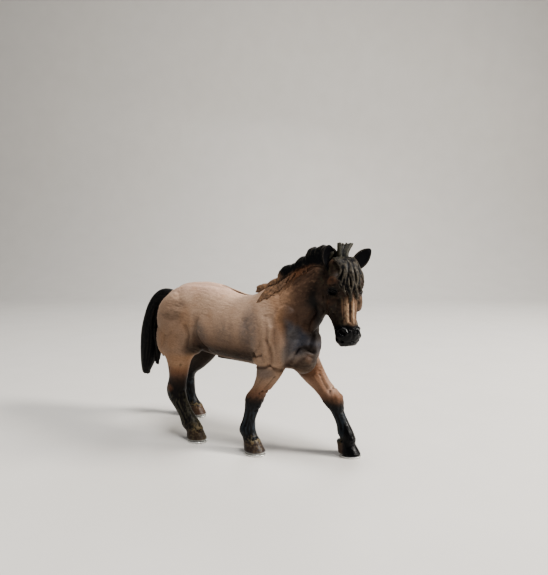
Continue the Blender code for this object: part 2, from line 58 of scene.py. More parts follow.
SKIN_VOXEL = 0.38
HAIR_VOXEL = 0.3
LEG_SEAM_Z = 42.3
NECK_SEAM_SUM = 106.0
HAIRLINE = 0.02
SHOE_THICKNESS = 0.9
GAP = 0.3
SLOT_LENGTH = 27.5
SLOT_WIDTH = 2.8
SLOT_CENTRE_X = -4.0
STOPPER_LENGTH = 27.0
STOPPER_WIDTH = 12.0
STOPPER_RIM = 1.3
STOPPER_RIM_TOP_Z = 46.0
CHAMBER_BACK_X = -36.0
CHAMBER_FRONT_X = 16.0
WALL_THICKNESS = 3.0
FLOOR_THICKNESS = 4.6

# Barrel, from the buttocks to the breast: x, top, bottom, half width, height of the widest point.
TORSO = (
    (-58.0, 69.0, 60.0, 5.0, 64.5),
    (-56.5, 74.0, 54.0, 9.0, 64.0),
    (-52.0, 79.3, 48.5, 12.3, 64.0),
    (-45.0, 82.6, 46.5, 14.2, 65.0),
    (-36.0, 84.3, 46.5, 14.9, 66.0),
    (-27.0, 84.6, 46.2, 14.8, 65.0),
    (-18.0, 84.0, 45.0, 14.9, 64.0),
    (-9.0, 81.6, 44.0, 15.4, 62.0),
    (0.0, 79.3, 43.6, 15.6, 61.0),
    (8.0, 80.4, 43.5, 15.0, 60.5),
    (16.0, 84.2, 43.5, 13.8, 60.0),
    (24.0, 85.0, 43.6, 13.2, 59.0),
    (31.0, 80.5, 44.0, 11.4, 58.0),
    (37.0, 73.0, 46.0, 8.6, 57.5),
    (41.5, 67.0, 49.5, 5.6, 57.5),
    (44.2, 62.0, 53.5, 2.8, 58.0),
)

# Neck, from the withers to the poll: crest x y z, throat x y z, half width.
NECK = (
    (14.0, 0.0, 83.5, 39.0, 0.0, 55.0, 9.0),
    (20.0, 0.0, 86.5, 43.0, 0.0, 60.0, 9.2),
    (27.0, 0.0, 91.0, 43.2, -0.2, 65.0, 8.0),
    (35.0, -0.4, 95.2, 44.6, -0.8, 69.0, 7.2),
    (43.0, -1.0, 97.4, 47.0, -1.4, 72.0, 6.8),
    (51.0, -2.0, 97.0, 50.4, -2.2, 75.0, 6.6),
)

# Head in its own axes: down from the poll, face, jaw, half width, share of the depth at the widest point.
HEAD_TOP = (61.2, -4.3, 97.0)
HEAD_YAW = -32.0
HEAD_NOD = 10.0
HEAD = (
    (-3.2, -4.5, -9.0, 3.2, 0.5),
    (-2.0, -1.6, -12.0, 5.2, 0.5),
    (1.0, 0.6, -15.0, 6.8, 0.5),
    (5.5, 2.2, -17.6, 8.1, 0.55),
    (10.0, 2.6, -19.0, 8.9, 0.6),
    (14.0, 2.0, -19.6, 8.2, 0.5),
    (18.0, 1.2, -19.2, 7.2, 0.45),
    (22.0, 0.6, -17.0, 6.0, 0.45),
    (25.5, 0.2, -13.8, 5.4, 0.45),
    (29.0, 0.0, -11.2, 5.6, 0.5),
    (32.0, 0.0, -9.4, 6.0, 0.5),
    (34.8, -1.0, -9.0, 5.8, 0.5),
    (37.4, -3.2, -7.4, 3.6, 0.5),
)

# Legs, from the body down: front x z, back x z, y, half width.
RIGHT_FORELEG = (
    (37.0, 66.0, 15.0, 66.0, -8.0, 5.5),
    (35.5, 57.0, 13.0, 55.0, -8.6, 5.6),
    (33.0, 49.0, 14.6, 47.5, -9.4, 5.4),
    (28.6, 42.0, 15.4, 42.0, -10.2, 5.0),
    (23.6, 35.6, 13.8, 35.6, -11.0, 4.3),
    (20.2, 31.5, 10.4, 31.0, -11.5, 4.4),
    (19.0, 27.5, 9.4, 27.5, -11.8, 4.2),
    (16.6, 23.0, 9.0, 23.0, -12.0, 3.3),
    (14.6, 18.0, 7.8, 18.0, -12.2, 3.0),
    (14.6, 13.6, 6.0, 13.0, -12.4, 3.7),
    (15.4, 11.0, 6.8, 10.4, -12.5, 3.7),
    (17.0, 8.8, 9.6, 7.8, -12.5, 3.5),
)
LEFT_FORELEG = (
    (38.0, 66.0, 19.0, 66.0, 8.0, 5.5),
    (38.0, 58.0, 19.5, 54.0, 8.8, 5.6),
    (37.8, 50.0, 21.6, 45.0, 9.6, 5.4),
    (40.6, 42.4, 29.2, 36.8, 10.6, 4.8),
    (43.8, 36.6, 36.6, 31.0, 11.4, 4.2),
    (49.6, 31.0, 40.4, 26.4, 12.0, 4.4),
    (51.0, 27.0, 43.6, 23.4, 12.2, 4.1),
    (51.4, 22.4, 46.0, 20.0, 12.3, 3.2),
    (53.4, 18.4, 47.8, 15.8, 12.4, 3.0),
    (55.8, 14.0, 48.4, 12.0, 12.5, 3.7),
    (57.2, 11.0, 49.8, 9.6, 12.5, 3.7),
    (58.6, 8.8, 51.4, 7.8, 12.5, 3.5),
)
RIGHT_HIND_LEG = (
    (-20.0, 66.0, -54.0, 66.0, -8.5, 6.5),
    (-19.5, 56.0, -54.6, 56.0, -9.2, 6.4),
    (-25.5, 48.0, -51.0, 47.0, -10.6, 6.0),
    (-29.8, 42.5, -45.6, 40.5, -12.0, 5.0),
    (-31.4, 35.0, -43.2, 33.0, -13.0, 4.4),
    (-31.8, 29.5, -44.4, 26.2, -13.8, 4.2),
    (-31.2, 24.2, -42.6, 21.4, -14.4, 4.0),
    (-28.4, 19.4, -37.4, 16.4, -15.0, 3.3),
    (-24.4, 15.0, -33.4, 12.4, -15.4, 3.1),
    (-20.6, 11.8, -31.4, 8.2, -15.7, 3.8),
    (-18.2, 9.4, -28.4, 6.2, -15.9, 3.8),
    (-16.4, 8.0, -26.0, 5.6, -16.0, 3.8),
)
LEFT_HIND_LEG = (
    (-24.0, 66.0, -56.0, 66.0, 8.5, 6.5),
    (-25.0, 56.0, -58.0, 56.0, 9.2, 6.4),
    (-28.5, 47.0, -58.0, 48.0, 10.6, 6.0),
    (-33.5, 40.0, -57.5, 42.0, 11.6, 5.2),
    (-42.0, 33.2, -58.6, 35.5, 12.6, 4.6),
    (-50.6, 27.6, -63.6, 28.6, 13.4, 4.5),
    (-52.2, 22.4, -63.4, 21.8, 14.0, 4.1),
    (-52.4, 17.6, -60.6, 16.4, 14.6, 3.4),
    (-52.2, 14.0, -59.6, 12.0, 15.0, 3.3),
    (-50.6, 10.6, -58.4, 8.8, 15.3, 3.9),
    (-48.6, 8.8, -56.4, 6.6, 15.6, 3.8),
    (-46.6, 7.8, -54.2, 5.8, 15.8, 3.8),
)

LEGS = {
    "right_foreleg": RIGHT_FORELEG,
    "left_foreleg": LEFT_FORELEG,
    "right_hind_leg": RIGHT_HIND_LEG,
    "left_hind_leg": LEFT_HIND_LEG,
}

# Hooves and shoes: x and y of the sole's centre, and the way the toe points, in degrees.
HOOVES = {
    "right_foreleg": (15.2, -12.5, -4.0),
    "left_foreleg": (54.8, 12.5, 4.0),
    "right_hind_leg": (-20.8, -16.0, -4.0),
    "left_hind_leg": (-50.4, 15.8, 6.0),
}
HOOF_LENGTH = 11.4
HOOF_WIDTH = 10.0
HOOF_HEIGHT = 6.2

# Tail, from the dock to the tip: x, y, z, half width, half thickness.
TAIL = (
    (-50.0, 0.0, 75.2, 3.2, 2.6),
    (-56.0, 0.0, 76.6, 3.6, 3.0),
    (-62.0, 0.2, 76.0, 4.4, 3.6),
    (-67.4, 0.4, 71.0, 5.6, 4.2),
    (-70.8, 0.6, 63.0, 6.6, 4.8),
    (-73.2, 0.8, 54.0, 7.2, 5.4),
    (-75.0, 1.0, 45.0, 6.8, 5.4),
    (-77.8, 1.0, 35.0, 4.6, 4.0),
    (-79.8, 1.0, 28.0, 2.4, 2.4),
    (-80.2, 1.0, 26.2, 1.2, 1.2),
)


# ---------------------------------------------------------------- building blocks


def spline(stations, steps):
    """The stations with steps - 1 rows added in each span, on a Catmull-Rom curve."""
    rows = []
    last = len(stations) - 1
    for index in range(last):
        before = stations[max(index - 1, 0)]
        start = stations[index]
        end = stations[index + 1]
        after = stations[min(index + 2, last)]
        for step in range(steps):
            t = step / steps
            rows.append(
                tuple(
                    b + 0.5 * t * ((c - a) + t * ((2 * a - 5 * b + 4 * c - d) + t * (3 * b - a - 3 * c + d)))
                    for a, b, c, d in zip(before, start, end, after)
                )
            )
    rows.append(stations[last])
    return rows


def section(top, bottom, side, half_width, widest=0.5, pinch=1.0, points=40):
    """An egg-shaped ring between two points; pinch over 1 narrows its top, as at a crest."""
    centre = bottom.lerp(top, widest)
    ring = []
    for index in range(points):
        angle = 2 * math.pi * index / points
        across, along = math.cos(angle), math.sin(angle)
        power = pinch if along > 0 else 1.0
        width = math.copysign(abs(across) ** power, across) * half_width
        reach = (top - centre) * along if along > 0 else (centre - bottom) * along
        ring.append(centre + side * width + reach)
    return ring


def object_from(name, shape):
    mesh = bpy.data.meshes.new(name)
    shape.to_mesh(mesh)
    shape.free()
    obj = bpy.data.objects.new(name, mesh)
    bpy.context.scene.collection.objects.link(obj)
    return obj


def loft(name, rings):
    """A closed skin through rings of equally many points."""
    shape = bmesh.new()
    loops = [[shape.verts.new(point) for point in ring] for ring in rings]
    for first, second in zip(loops, loops[1:]):
        for index in range(len(first)):
            after = (index + 1) % len(first)
            shape.faces.new((first[index], first[after], second[after], second[index]))
    shape.faces.new(list(reversed(loops[0])))
    shape.faces.new(loops[-1])
    bmesh.ops.recalc_face_normals(shape, faces=shape.faces)
    return object_from(name, shape)


def lump(name, centre, radii, lean=0.0, axes=None):
    """An ellipsoid, for a muscle or a bony point; lean turns its top forwards, in degrees."""
    shape = bmesh.new()
    bmesh.ops.create_icosphere(shape, subdivisions=4, radius=1.0)
    turn = Matrix.Rotation(math.radians(lean), 4, "Y")
    if axes:
        turn = Matrix([[axis[row] for axis in axes] for row in range(3)]).to_4x4()
    place = Matrix.Translation(Vector(centre)) @ turn @ Matrix.Diagonal((*radii, 1.0))
    bmesh.ops.transform(shape, matrix=place, verts=shape.verts)
    return object_from(name, shape)


def tube(points, radii, sides=10):
    """Rings along a smooth path, for a strand of hair; radii follow the same stations."""
    rows = spline([(*point, radius) for point, radius in zip(points, radii)], 5)
    centres = [Vector(row[:3]) for row in rows]
    rings = []
    normal = None
    for index, centre in enumerate(centres):
        ahead = (centres[min(index + 1, len(rows) - 1)] - centres[max(index - 1, 0)]).normalized()
        if normal is None:
            normal = ahead.orthogonal().normalized()
        normal = (normal - ahead * normal.dot(ahead)).normalized()
        across = ahead.cross(normal)
        ring = []
        for side in range(sides):
            angle = 2 * math.pi * side / sides
            outward = normal * math.cos(angle) + across * math.sin(angle)
            ring.append(centre + outward * max(rows[index][3], 0.08))
        rings.append(ring)
    return rings


def baked(obj):
    """The object's mesh with its modifiers applied; the object is removed."""
    bpy.context.view_layer.update()
    mesh = bpy.data.meshes.new_from_object(obj.evaluated_get(bpy.context.evaluated_depsgraph_get()))
    bpy.data.objects.remove(obj)
    return mesh


def blended(name, parts, voxel, smoothing):
    """One skin over overlapping parts, with its creases softened."""
    joined = bmesh.new()
    for part in parts:
        joined.from_mesh(part.data)
        bpy.data.objects.remove(part)
    obj = object_from(name, joined)
    skin = obj.modifiers.new("skin", "REMESH")
    skin.mode = "VOXEL"
    skin.voxel_size = voxel
    if smoothing:
        soften = obj.modifiers.new("soften", "SMOOTH")
        soften.iterations = smoothing
    return baked(obj)


def placed(name, mesh, *nodes):
    """A finished piece from a mesh in millimetres, standing for CAD nodes and riding on the horse."""
    mesh.transform(Matrix.Diagonal((MM, MM, MM, 1.0)) @ Matrix.Translation(SHIFT))
    mesh.name = name
    obj = bpy.data.objects.new(name, mesh)
    bpy.context.scene.collection.objects.link(obj)
    for polygon in mesh.polygons:
        polygon.use_smooth = True
    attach(obj, "horse")
    if nodes:
        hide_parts(*nodes)
    return obj


def rounded_slot(centre_x, length, width, points=15):
    """The outline of a slot with round ends that runs along X."""
    radius = width / 2
    reach = length / 2 - radius
    outline = []
    for sign in (1, -1):
        for index in range(points + 1):
            angle = math.pi * index / points - math.pi / 2
            along, across = reach + radius * math.cos(angle), radius * math.sin(angle)
            outline.append((centre_x + sign * along, sign * across))
    return outline


def prism(name, outline, bottom, top):
    return loft(name, [[Vector((x, y, z)) for x, y in outline] for z in (bottom, top)])


def slab(name, outline, low_y, high_y):
    return loft(name, [[Vector((x, y, z)) for x, z in outline] for y in (low_y, high_y)])


def block(name, low_corner, high_corner):
    (x0, y0, z0), (x1, y1, z1) = low_corner, high_corner
    return prism(name, [(x0, y0), (x1, y0), (x1, y1), (x0, y1)], z0, z1)


# ---------------------------------------------------------------- the head's own axes

YAW, NOD = math.radians(HEAD_YAW), math.radians(HEAD_NOD)
AHEAD = Vector((math.cos(YAW), math.sin(YAW), 0))
DOWN = AHEAD * math.sin(NOD) + Vector((0, 0, -math.cos(NOD)))
FORWARD = AHEAD * math.cos(NOD) + Vector((0, 0, math.sin(NOD)))
LEFT = Vector((-math.sin(YAW), math.cos(YAW), 0))
HEAD_AXES = (LEFT, FORWARD, DOWN)


def on_head(down_mm, forward_mm, left_mm):
    return Vector(HEAD_TOP) + DOWN * down_mm + FORWARD * forward_mm + LEFT * left_mm


def head_coordinates(points):
    """Down, forward and left of the poll, for an array of points."""
    offset = points - np.array(HEAD_TOP)
    return offset @ np.array(DOWN), offset @ np.array(FORWARD), offset @ np.array(LEFT)


# ---------------------------------------------------------------- noise and soft edges


def hash_noise(points, scale, seed):
    """Smooth noise from -1 to 1 at each point, from values fixed by the lattice."""
    cell = points / scale + seed * 17.31
    base = np.floor(cell).astype(np.int64)
    share = cell - base
    share = share * share * (3 - 2 * share)
    total = np.zeros(len(points))
    for corner in range(8):
        bits = np.array([(corner >> axis) & 1 for axis in range(3)])
        key = base + bits
        code = (key[:, 0] * 73856093) ^ (key[:, 1] * 19349663) ^ (key[:, 2] * 83492791) ^ (seed * 2654435)
        code = (code ^ (code >> 13)) * 1274126177
        value = ((code ^ (code >> 16)) & 65535) / 32767.5 - 1
        weight = np.prod(np.where(bits, share, 1 - share), axis=1)
        total += value * weight
    return total


def step_up(value, low_edge, high_edge):
    """0 below the low edge, 1 above the high edge, and a smooth step between them."""
    share = np.clip((value - low_edge) / (high_edge - low_edge), 0, 1)
    return share * share * (3 - 2 * share)


def near(points, centre, radii):
    """1 at a place, falling to 0 at an ellipsoid around it."""
    reach = np.sqrt((((points - np.array(centre)) / np.array(radii)) ** 2).sum(1))
    return 1 - step_up(reach, 0.35, 1.0)


def either_side(points, centre, radii):
    """The same as near, at a place and at its mirror image on the horse's other side."""
    x, y, z = centre
    return np.maximum(near(points, centre, radii), near(points, (x, -y, z), radii))


# ---------------------------------------------------------------- the skin


def torso_ring(row, wall=0.0, floor=0.0):
    """A ring of the barrel; a wall and a floor thickness give the hollow inside it instead."""
    x, top, bottom, half_width, wide_z = row
    roof, base = top - wall, bottom + floor
    widest = (wide_z - base) / (roof - base)
    return section(Vector((x, 0, roof)), Vector((x, 0, base)), SIDE_AXIS, half_width - wall, widest)


def skin_parts():
    """Overlapping solids of the whole horse, before they are blended."""
    parts = [loft("torso", [torso_ring(row) for row in spline(TORSO, 6)])]
    for side in (-1, 1):
        parts += [
            lump("haunch", (-42, 8.2 * side, 64), (14.5, 8.2, 15.5), 12),
            lump("stifle", (-30, 9.5 * side, 54), (7.5, 5.6, 8.6), -12),
            lump("thigh", (-48, 9.2 * side, 54), (8.5, 6.0, 12.0), 10),
            lump("shoulder", (27, 7.4 * side, 62), (9.5, 6.0, 15.5), 24),
            lump("breast", (33.5, 5.6 * side, 54), (7.0, 6.0, 9.0), 10),
            lump("elbow", (19, 9.2 * side, 50), (6.0, 4.6, 8.0), 20),
        ]
    rings = []
    for row in spline(NECK, 6):
        rings.append(section(Vector(row[0:3]), Vector(row[3:6]), SIDE_AXIS, row[6], 0.45, 1.35))
    parts.append(loft("neck", rings))
    rings = [
        section(on_head(u, face, 0), on_head(u, jaw, 0), LEFT, half_width, widest)
        for u, face, jaw, half_width, widest in spline(HEAD, 5)
    ]
    parts.append(loft("head", rings))
    for side in (-1, 1):
        parts += [
            lump("brow", on_head(8.6, -2.2, side * 5.0), (4.0, 3.6, 4.6), axes=HEAD_AXES),
            lump("cheekbone", on_head(16.4, -5.0, side * 6.0), (2.7, 3.4, 5.6), axes=HEAD_AXES),
        ]
    parts += [
        lump("throat", (48, -4, 77), (3.2, 3.8, 5.4)),
        lump("gullet", (46, -4, 70.5), (2.2, 3.6, 7.5), 30),
        lump("breast_floor", (37, -2, 48.5), (5.6, 7, 5.8)),
    ]
    for name, rows in LEGS.items():
        rings = []
        for front_x, front_z, back_x, back_z, y, half_width in spline(rows, 6):
            ends = Vector((front_x, y, front_z)), Vector((back_x, y, back_z))
            rings.append(section(*ends, SIDE_AXIS, half_width))
        parts.append(loft(name, rings))
        parts.append(hoof(*HOOVES[name]))
    return parts


# A hoof's outline from the sole up: share of the height, share of the sole's size.
HOOF_PROFILE = ((0.0, 1.0), (0.3, 0.93), (0.6, 0.85), (0.78, 0.80), (0.86, 0.84), (0.94, 0.83), (1.0, 0.76))
HOOF_LEAN = -2.6


def hoof(centre_x, centre_y, toe):
    """A hoof that narrows upwards and leans back, with a swollen band at the top."""
    rings = []
    sole = GROUND_Z + SHOE_THICKNESS + GAP / 3
    turn = Matrix.Rotation(math.radians(toe), 3, "Z")
    for share, scale in HOOF_PROFILE:
        shift = Vector((HOOF_LEAN * share, 0, sole + HOOF_HEIGHT * share * 1.05))
        ring = []
        for index in range(40):
            angle = 2 * math.pi * index / 40
            point = Vector((HOOF_LENGTH / 2 * math.cos(angle), HOOF_WIDTH / 2 * math.sin(angle), 0)) * scale
            ring.append(Vector((centre_x, centre_y, 0)) + turn @ (point + shift))
        rings.append(ring)
    return loft("hoof", rings)


class Clay:
    """A mesh's points as arrays, pushed in and out along their normals."""

    def __init__(self, mesh):
        self.mesh = mesh
        count = len(mesh.vertices)
        self.points = np.empty(count * 3, np.float32)
        mesh.vertices.foreach_get("co", self.points)
        self.points = self.points.reshape(-1, 3).astype(np.float64)
        self.edges = np.empty(len(mesh.edges) * 2, np.int64)
        mesh.edges.foreach_get("vertices", self.edges)
        self.edges = self.edges.reshape(-1, 2)
        self.read_normals()

    def read_normals(self):
        self.normals = np.empty(len(self.points) * 3, np.float32)
        self.mesh.vertices.foreach_get("normal", self.normals)
        self.normals = self.normals.reshape(-1, 3).astype(np.float64)

    def settle(self):
        """Writes the points back, so that the next strokes see the new normals."""
        self.mesh.vertices.foreach_set("co", self.points.astype(np.float32).ravel())
        self.mesh.update()
        self.read_normals()

    def neighbour_mean(self, values):
        total = np.zeros_like(values)
        number = np.zeros(len(values))
        for a, b in ((0, 1), (1, 0)):
            np.add.at(total, self.edges[:, a], values[self.edges[:, b]])
            np.add.at(number, self.edges[:, a], 1)
        return total / (number[:, None] if values.ndim > 1 else number)

    def relax(self, weight, rounds=1):
        for _ in range(rounds):
            self.points += (self.neighbour_mean(self.points) - self.points) * weight[:, None]

    def nearest(self, point):
        return int(np.argmin(((self.points - np.array(point)) ** 2).sum(1)))

    def stroke(self, path, radius, depth):
        """Pushes in by depth, or out where it is negative, along a path laid on the surface."""
        anchors = [self.nearest(point) for point in path]
        line = self.points[anchors]
        facing = self.normals[anchors].mean(0)
        distance = np.full(len(self.points), 1e9)
        if len(line) == 1:
            distance = np.linalg.norm(self.points - line[0], axis=1)
        for start, end in zip(line, line[1:]):
            along = end - start
            share = np.clip((self.points - start) @ along / max(along @ along, 1e-9), 0, 1)
            offset = self.points - start - share[:, None] * along
            distance = np.minimum(distance, np.linalg.norm(offset, axis=1))
        fall = np.clip(1 - distance / radius, 0, 1)
        fall = fall * fall * (3 - 2 * fall)
        fall *= np.clip((self.normals @ facing) * 3, 0, 1)
        self.points -= self.normals * (fall * depth)[:, None]


# The barrel's strokes are made this much wider and deeper than their tables say.
BODY_STROKE_WIDTH = 1.25
BODY_STROKE_DEPTH = 1.35
HAIR_WAVELENGTH = 1.45


def mirrored(path):
    return [(x, -y, z) for x, y, z in path]


# Strokes on the barrel's right side, repeated on its left: path, radius, depth. Each point is
# only near the skin, in whole millimetres, and is moved onto it before the stroke is made.
BODY_STROKES = (
    # two upright folds of skin on the shoulder
    ([(21, -12, 70), (23, -13, 65), (23, -14, 59)], 1.7, 0.34),
    ([(24, -12, 70), (27, -13, 65), (27, -14, 59), (29, -14, 54)], 1.9, 0.32),
    ([(22, -12, 69), (25, -13, 64), (25, -14, 58)], 1.8, -0.35),
    ([(19, -12, 69), (21, -13, 63), (21, -14, 58), (23, -14, 53)], 2.4, -0.45),
    ([(23, -14, 59), (25, -14, 56), (26, -14, 52), (26, -14, 49)], 1.6, 0.8),
    ([(30, -13, 66), (31, -13, 58), (31, -12, 50)], 3.0, -0.5),
    # point of the elbow with its creases
    ([(14, -12, 51), (16, -13, 50), (20, -14, 52)], 1.2, 0.75),
    ([(13, -12, 49), (17, -13, 48), (20, -14, 49)], 1.8, -0.5),
    ([(23, -14, 52), (23, -14, 49)], 2.2, -0.5),
    ([(12, -10, 45), (16, -13, 45), (22, -15, 46), (25, -15, 47)], 1.3, 0.9),
    ([(25, -15, 47), (28, -14, 46), (30, -11, 45)], 1.3, 0.8),
    # edge between shoulder and breast
    ([(33, -12, 67), (34, -12, 60), (34, -12, 54), (33, -10, 48)], 2.2, 0.45),
    ([(35, -10, 50), (38, -10, 55), (40, -8, 58)], 1.6, 0.7),
    # cleft over the round breast muscle
    ([(38, -10, 54), (39, -9, 56), (41, -7, 56), (43, -3, 54)], 1.4, 1.1),
    ([(39, -5, 50)], 5.0, -0.6),
    ([(42, -3, 62), (42, -4, 59), (42, -5, 57)], 1.5, 0.6),
    # flank, stifle and thigh
    ([(-23, -15, 66), (-24, -14, 60), (-23, -13, 54), (-20, -10, 50)], 3.0, 1.0),
    ([(-16, -14, 62), (-15, -14, 56)], 6.0, -0.6),
    ([(-30, -15, 62), (-28, -15, 57), (-29, -15, 52), (-31, -15, 48)], 1.9, 0.65),
    ([(-26, -14, 60), (-26, -14, 56), (-27, -14, 51)], 1.8, -0.5),
    ([(-38, -16, 58), (-39, -16, 50)], 6.0, -0.7),
    ([(-33, -14, 72), (-40, -14, 72)], 3.0, 0.35),
    # spine and loin
    ([(-48, -3, 82), (-30, -4, 84), (-14, -4, 83)], 2.4, 0.25),
    ([(-46, 0, 82), (-28, 0, 85), (-10, 0, 82)], 2.0, -0.25),
    # ribs, barely there
    ([(-2, -15, 68), (0, -15, 58)], 2.0, -0.16),
    ([(4, -15, 68), (6, -15, 58)], 2.0, -0.16),
    ([(10, -14, 67), (12, -14, 58), (13, -13, 51)], 2.6, 0.45),
    # windpipe groove and neck muscles
    ([(45, -6, 73), (40, -8, 68), (36, -10, 62)], 2.4, 0.7),
    ([(46, -7, 82), (38, -8, 76), (32, -10, 70)], 3.2, -0.5),
    ([(30, -8, 84), (37, -7, 88), (44, -6, 91)], 2.2, 0.4),
    # roots of the mane, raised on the neck
    ([(26, -8, 81), (28, -6, 84), (30, -4, 88)], 0.9, 0.5),
    ([(30, -7, 85), (32, -5, 88), (34, -4, 91)], 0.9, 0.45),
    ([(39, -5, 92), (43, -5, 94)], 0.9, 0.45),
    ([(33, -6, 86), (37, -6, 89)], 0.9, 0.25),
    ([(41, -6, 90), (45, -5, 92)], 0.9, 0.25),
)

# Strokes on the face, on both sides, in half millimetres: path (down, forward, side), radius, depth.
FACE_STROKES = (
    # eye socket, lids and the eye itself
    ([(12.5, -2.0, 7.0)], 2.9, 0.75),
    ([(13, -5, 8.5), (11.5, -4, 8.5), (11, -2, 8), (11.5, -0.5, 6.5), (13, 0, 5.5)], 1.0, -0.6),
    ([(13, -4.5, 8), (14, -3.5, 8), (14.5, -2, 7), (13.5, 0, 6)], 0.8, -0.35),
    ([(12.5, -2.5, 7.5)], 1.4, -0.35),
    ([(6, -5.5, 7.5)], 2.4, 0.7),
    ([(9.5, -0.5, 7), (9.5, -2.5, 8.5)], 0.8, 0.35),
    # cheek plate, facial crest and the hollow before it
    ([(14, -11.5, 9)], 5.0, -0.6),
    ([(17.5, -4.5, 7.5), (20.5, -4.5, 6.5), (23, -4, 5.5)], 1.2, -0.3),
    ([(20.5, -7.5, 6.5), (23.5, -6.5, 5.5), (26, -5.5, 5.5)], 2.2, 0.45),
    ([(16.5, -1, 5), (21, -2, 4.5), (26, -2, 4.5)], 1.6, 0.35),
    # nostril with its rim, and the corner of the mouth
    ([(30, -3.5, 5), (29.5, -2, 4.5), (30, -0.5, 3.5), (32, 0, 3)], 1.0, -0.55),
    ([(30.5, -2.5, 5), (31.5, -2, 4.5), (32, -1.5, 4)], 0.95, 1.2),
    ([(33, -3, 5)], 1.4, -0.35),
    ([(29.5, -7, 5), (31.5, -6.5, 5.5), (33.5, -5, 5.5), (35, -3, 4)], 0.8, 0.75),
    ([(30.5, -5.5, 5.5), (32.5, -4.5, 5.5)], 1.3, -0.4),
    # jaw line
    ([(20.5, -12.5, 6.5), (24.5, -10.5, 5.5)], 1.8, 0.35),
)

# Strokes on the middle of the face.
MIDDLE_STROKES = (
    # the two nose bones, the groove between them and fine creases beside it
    ([(15.5, 1.5, -2.5), (20, 0.5, -2.5), (26.5, 0, -2.5)], 1.1, -0.42),
    ([(16.5, 1.5, 0.5), (21, 1, 0.5), (27, 0, 0.5)], 1.1, -0.42),
    ([(16, 1.5, -1), (20, 1, -1), (26.5, 0, -1)], 0.8, 0.45),
    ([(15.5, 0.5, 2.5), (20, 0, 2.5), (25, -0.5, 2.5)], 0.7, 0.3),
    ([(16.5, 0.5, -4), (21, -0.5, -4), (25, -1, -4)], 0.7, 0.3),
    ([(35, -3, 3.5), (35.5, -2, 0), (35, -3, -3.5)], 0.8, 0.7),
    ([(35, -7, 0)], 3.0, -0.9),
    ([(31, 0, 0), (34, -0.5, 0)], 1.3, 0.3),
)


def leg_point(rows, station, angle):
    """A point on a leg's side: angle 0 is the horse's left, 90 the front, 180 its right, 270 the back."""
    index = min(int(station), len(rows) - 2)
    share = station - index
    row = [a + (b - a) * share for a, b in zip(rows[index], rows[index + 1])]
    front, back = Vector((row[0], row[4], row[1])), Vector((row[2], row[4], row[3]))
    centre = front.lerp(back, 0.5)
    turn = math.radians(angle)
    return centre + SIDE_AXIS * row[5] * math.cos(turn) + (front - centre) * math.sin(turn)


# Strokes on each leg: stations and angles, radius, depth; side strokes are made on both sides.
FORELEG_STROKES = (
    ([(5.9, 90), (6.3, 60), (6.3, 120)], 1.1, 0.25, False),
    ([(4.5, 50), (4.4, 90), (4.5, 130)], 1.2, 0.45, False),
    ([(5.2, 55), (5.2, 125)], 1.5, -0.4, False),
    ([(6.9, 60), (6.8, 90), (6.9, 120)], 1.0, 0.35, False),
    ([(5.0, 315), (5.8, 318)], 1.3, -0.35, True),
    ([(6.3, 322), (7.4, 325), (8.6, 325)], 0.85, 0.55, True),
    ([(6.8, 10), (7.6, 8), (8.5, 10)], 0.9, 0.3, True),
    ([(9.3, 270)], 1.6, -0.5, False),
    ([(9.2, 350)], 1.6, -0.3, True),
    ([(3.0, 60), (3.8, 50), (4.6, 40)], 1.7, 0.42, True),
    ([(2.7, 90), (3.6, 80), (4.6, 80)], 1.2, -0.4, False),
    ([(3.2, 20), (4.4, 10)], 1.4, -0.35, True),
    ([(10.9, 40), (10.7, 90), (10.9, 140)], 0.8, 0.35, False),
)
HINDLEG_STROKES = (
    ([(3.4, 330), (4.4, 322), (5.2, 318)], 1.6, 0.6, True),
    ([(5.1, 270)], 1.6, -0.5, False),
    ([(5.7, 60), (5.6, 90), (5.7, 120)], 1.3, 0.4, False),
    ([(5.2, 350), (5.9, 0)], 1.6, -0.35, True),
    ([(6.1, 322), (7.2, 325), (8.4, 325)], 0.85, 0.6, True),
    ([(6.6, 12), (7.5, 8), (8.4, 10)], 0.9, 0.35, True),
    ([(9.3, 270)], 1.6, -0.5, False),
    ([(9.1, 350)], 1.6, -0.3, True),
    ([(3.2, 40), (4.2, 30), (5.0, 30)], 2.0, 0.25, True),
    ([(10.9, 40), (10.7, 90), (10.9, 140)], 0.8, 0.35, False),
)


def with_fine_face(mesh):
    """The mesh with its edges on the face halved, for finer strokes there."""
    shape = bmesh.new()
    shape.from_mesh(mesh)
    face_edges = []
    for edge in shape.edges:
        offset = (edge.verts[0].co + edge.verts[1].co) / 2 - Vector(HEAD_TOP)
        if 5 < offset.dot(DOWN) < 40 and offset.dot(FORWARD) > -13 and abs(offset.dot(LEFT)) < 12:
            face_edges.append(edge)
    bmesh.ops.subdivide_edges(shape, edges=face_edges, cuts=1, use_grid_fill=True, smooth=0.5)
    shape.to_mesh(mesh)
    shape.free()
    return mesh


def soften_joins(clay):
    """Evens out the joins at the hooves, throat, breast and brows."""
    heights = clay.points[:, 2]
    coronets = step_up(heights, 6.0, 7.5) * (1 - step_up(heights, 9.5, 12.0))
    clay.relax(0.5 * np.maximum(coronets, near(clay.points, (47, -4, 74), (8, 9, 12))), 36)
    clay.relax(0.5 * near(clay.points, (38, -2, 46), (9, 11, 7)), 24)
    for side in (-1, 1):
        clay.relax(0.5 * near(clay.points, on_head(8.5, -2.5, 7.5 * side), (7, 7, 7)), 30)
    clay.settle()


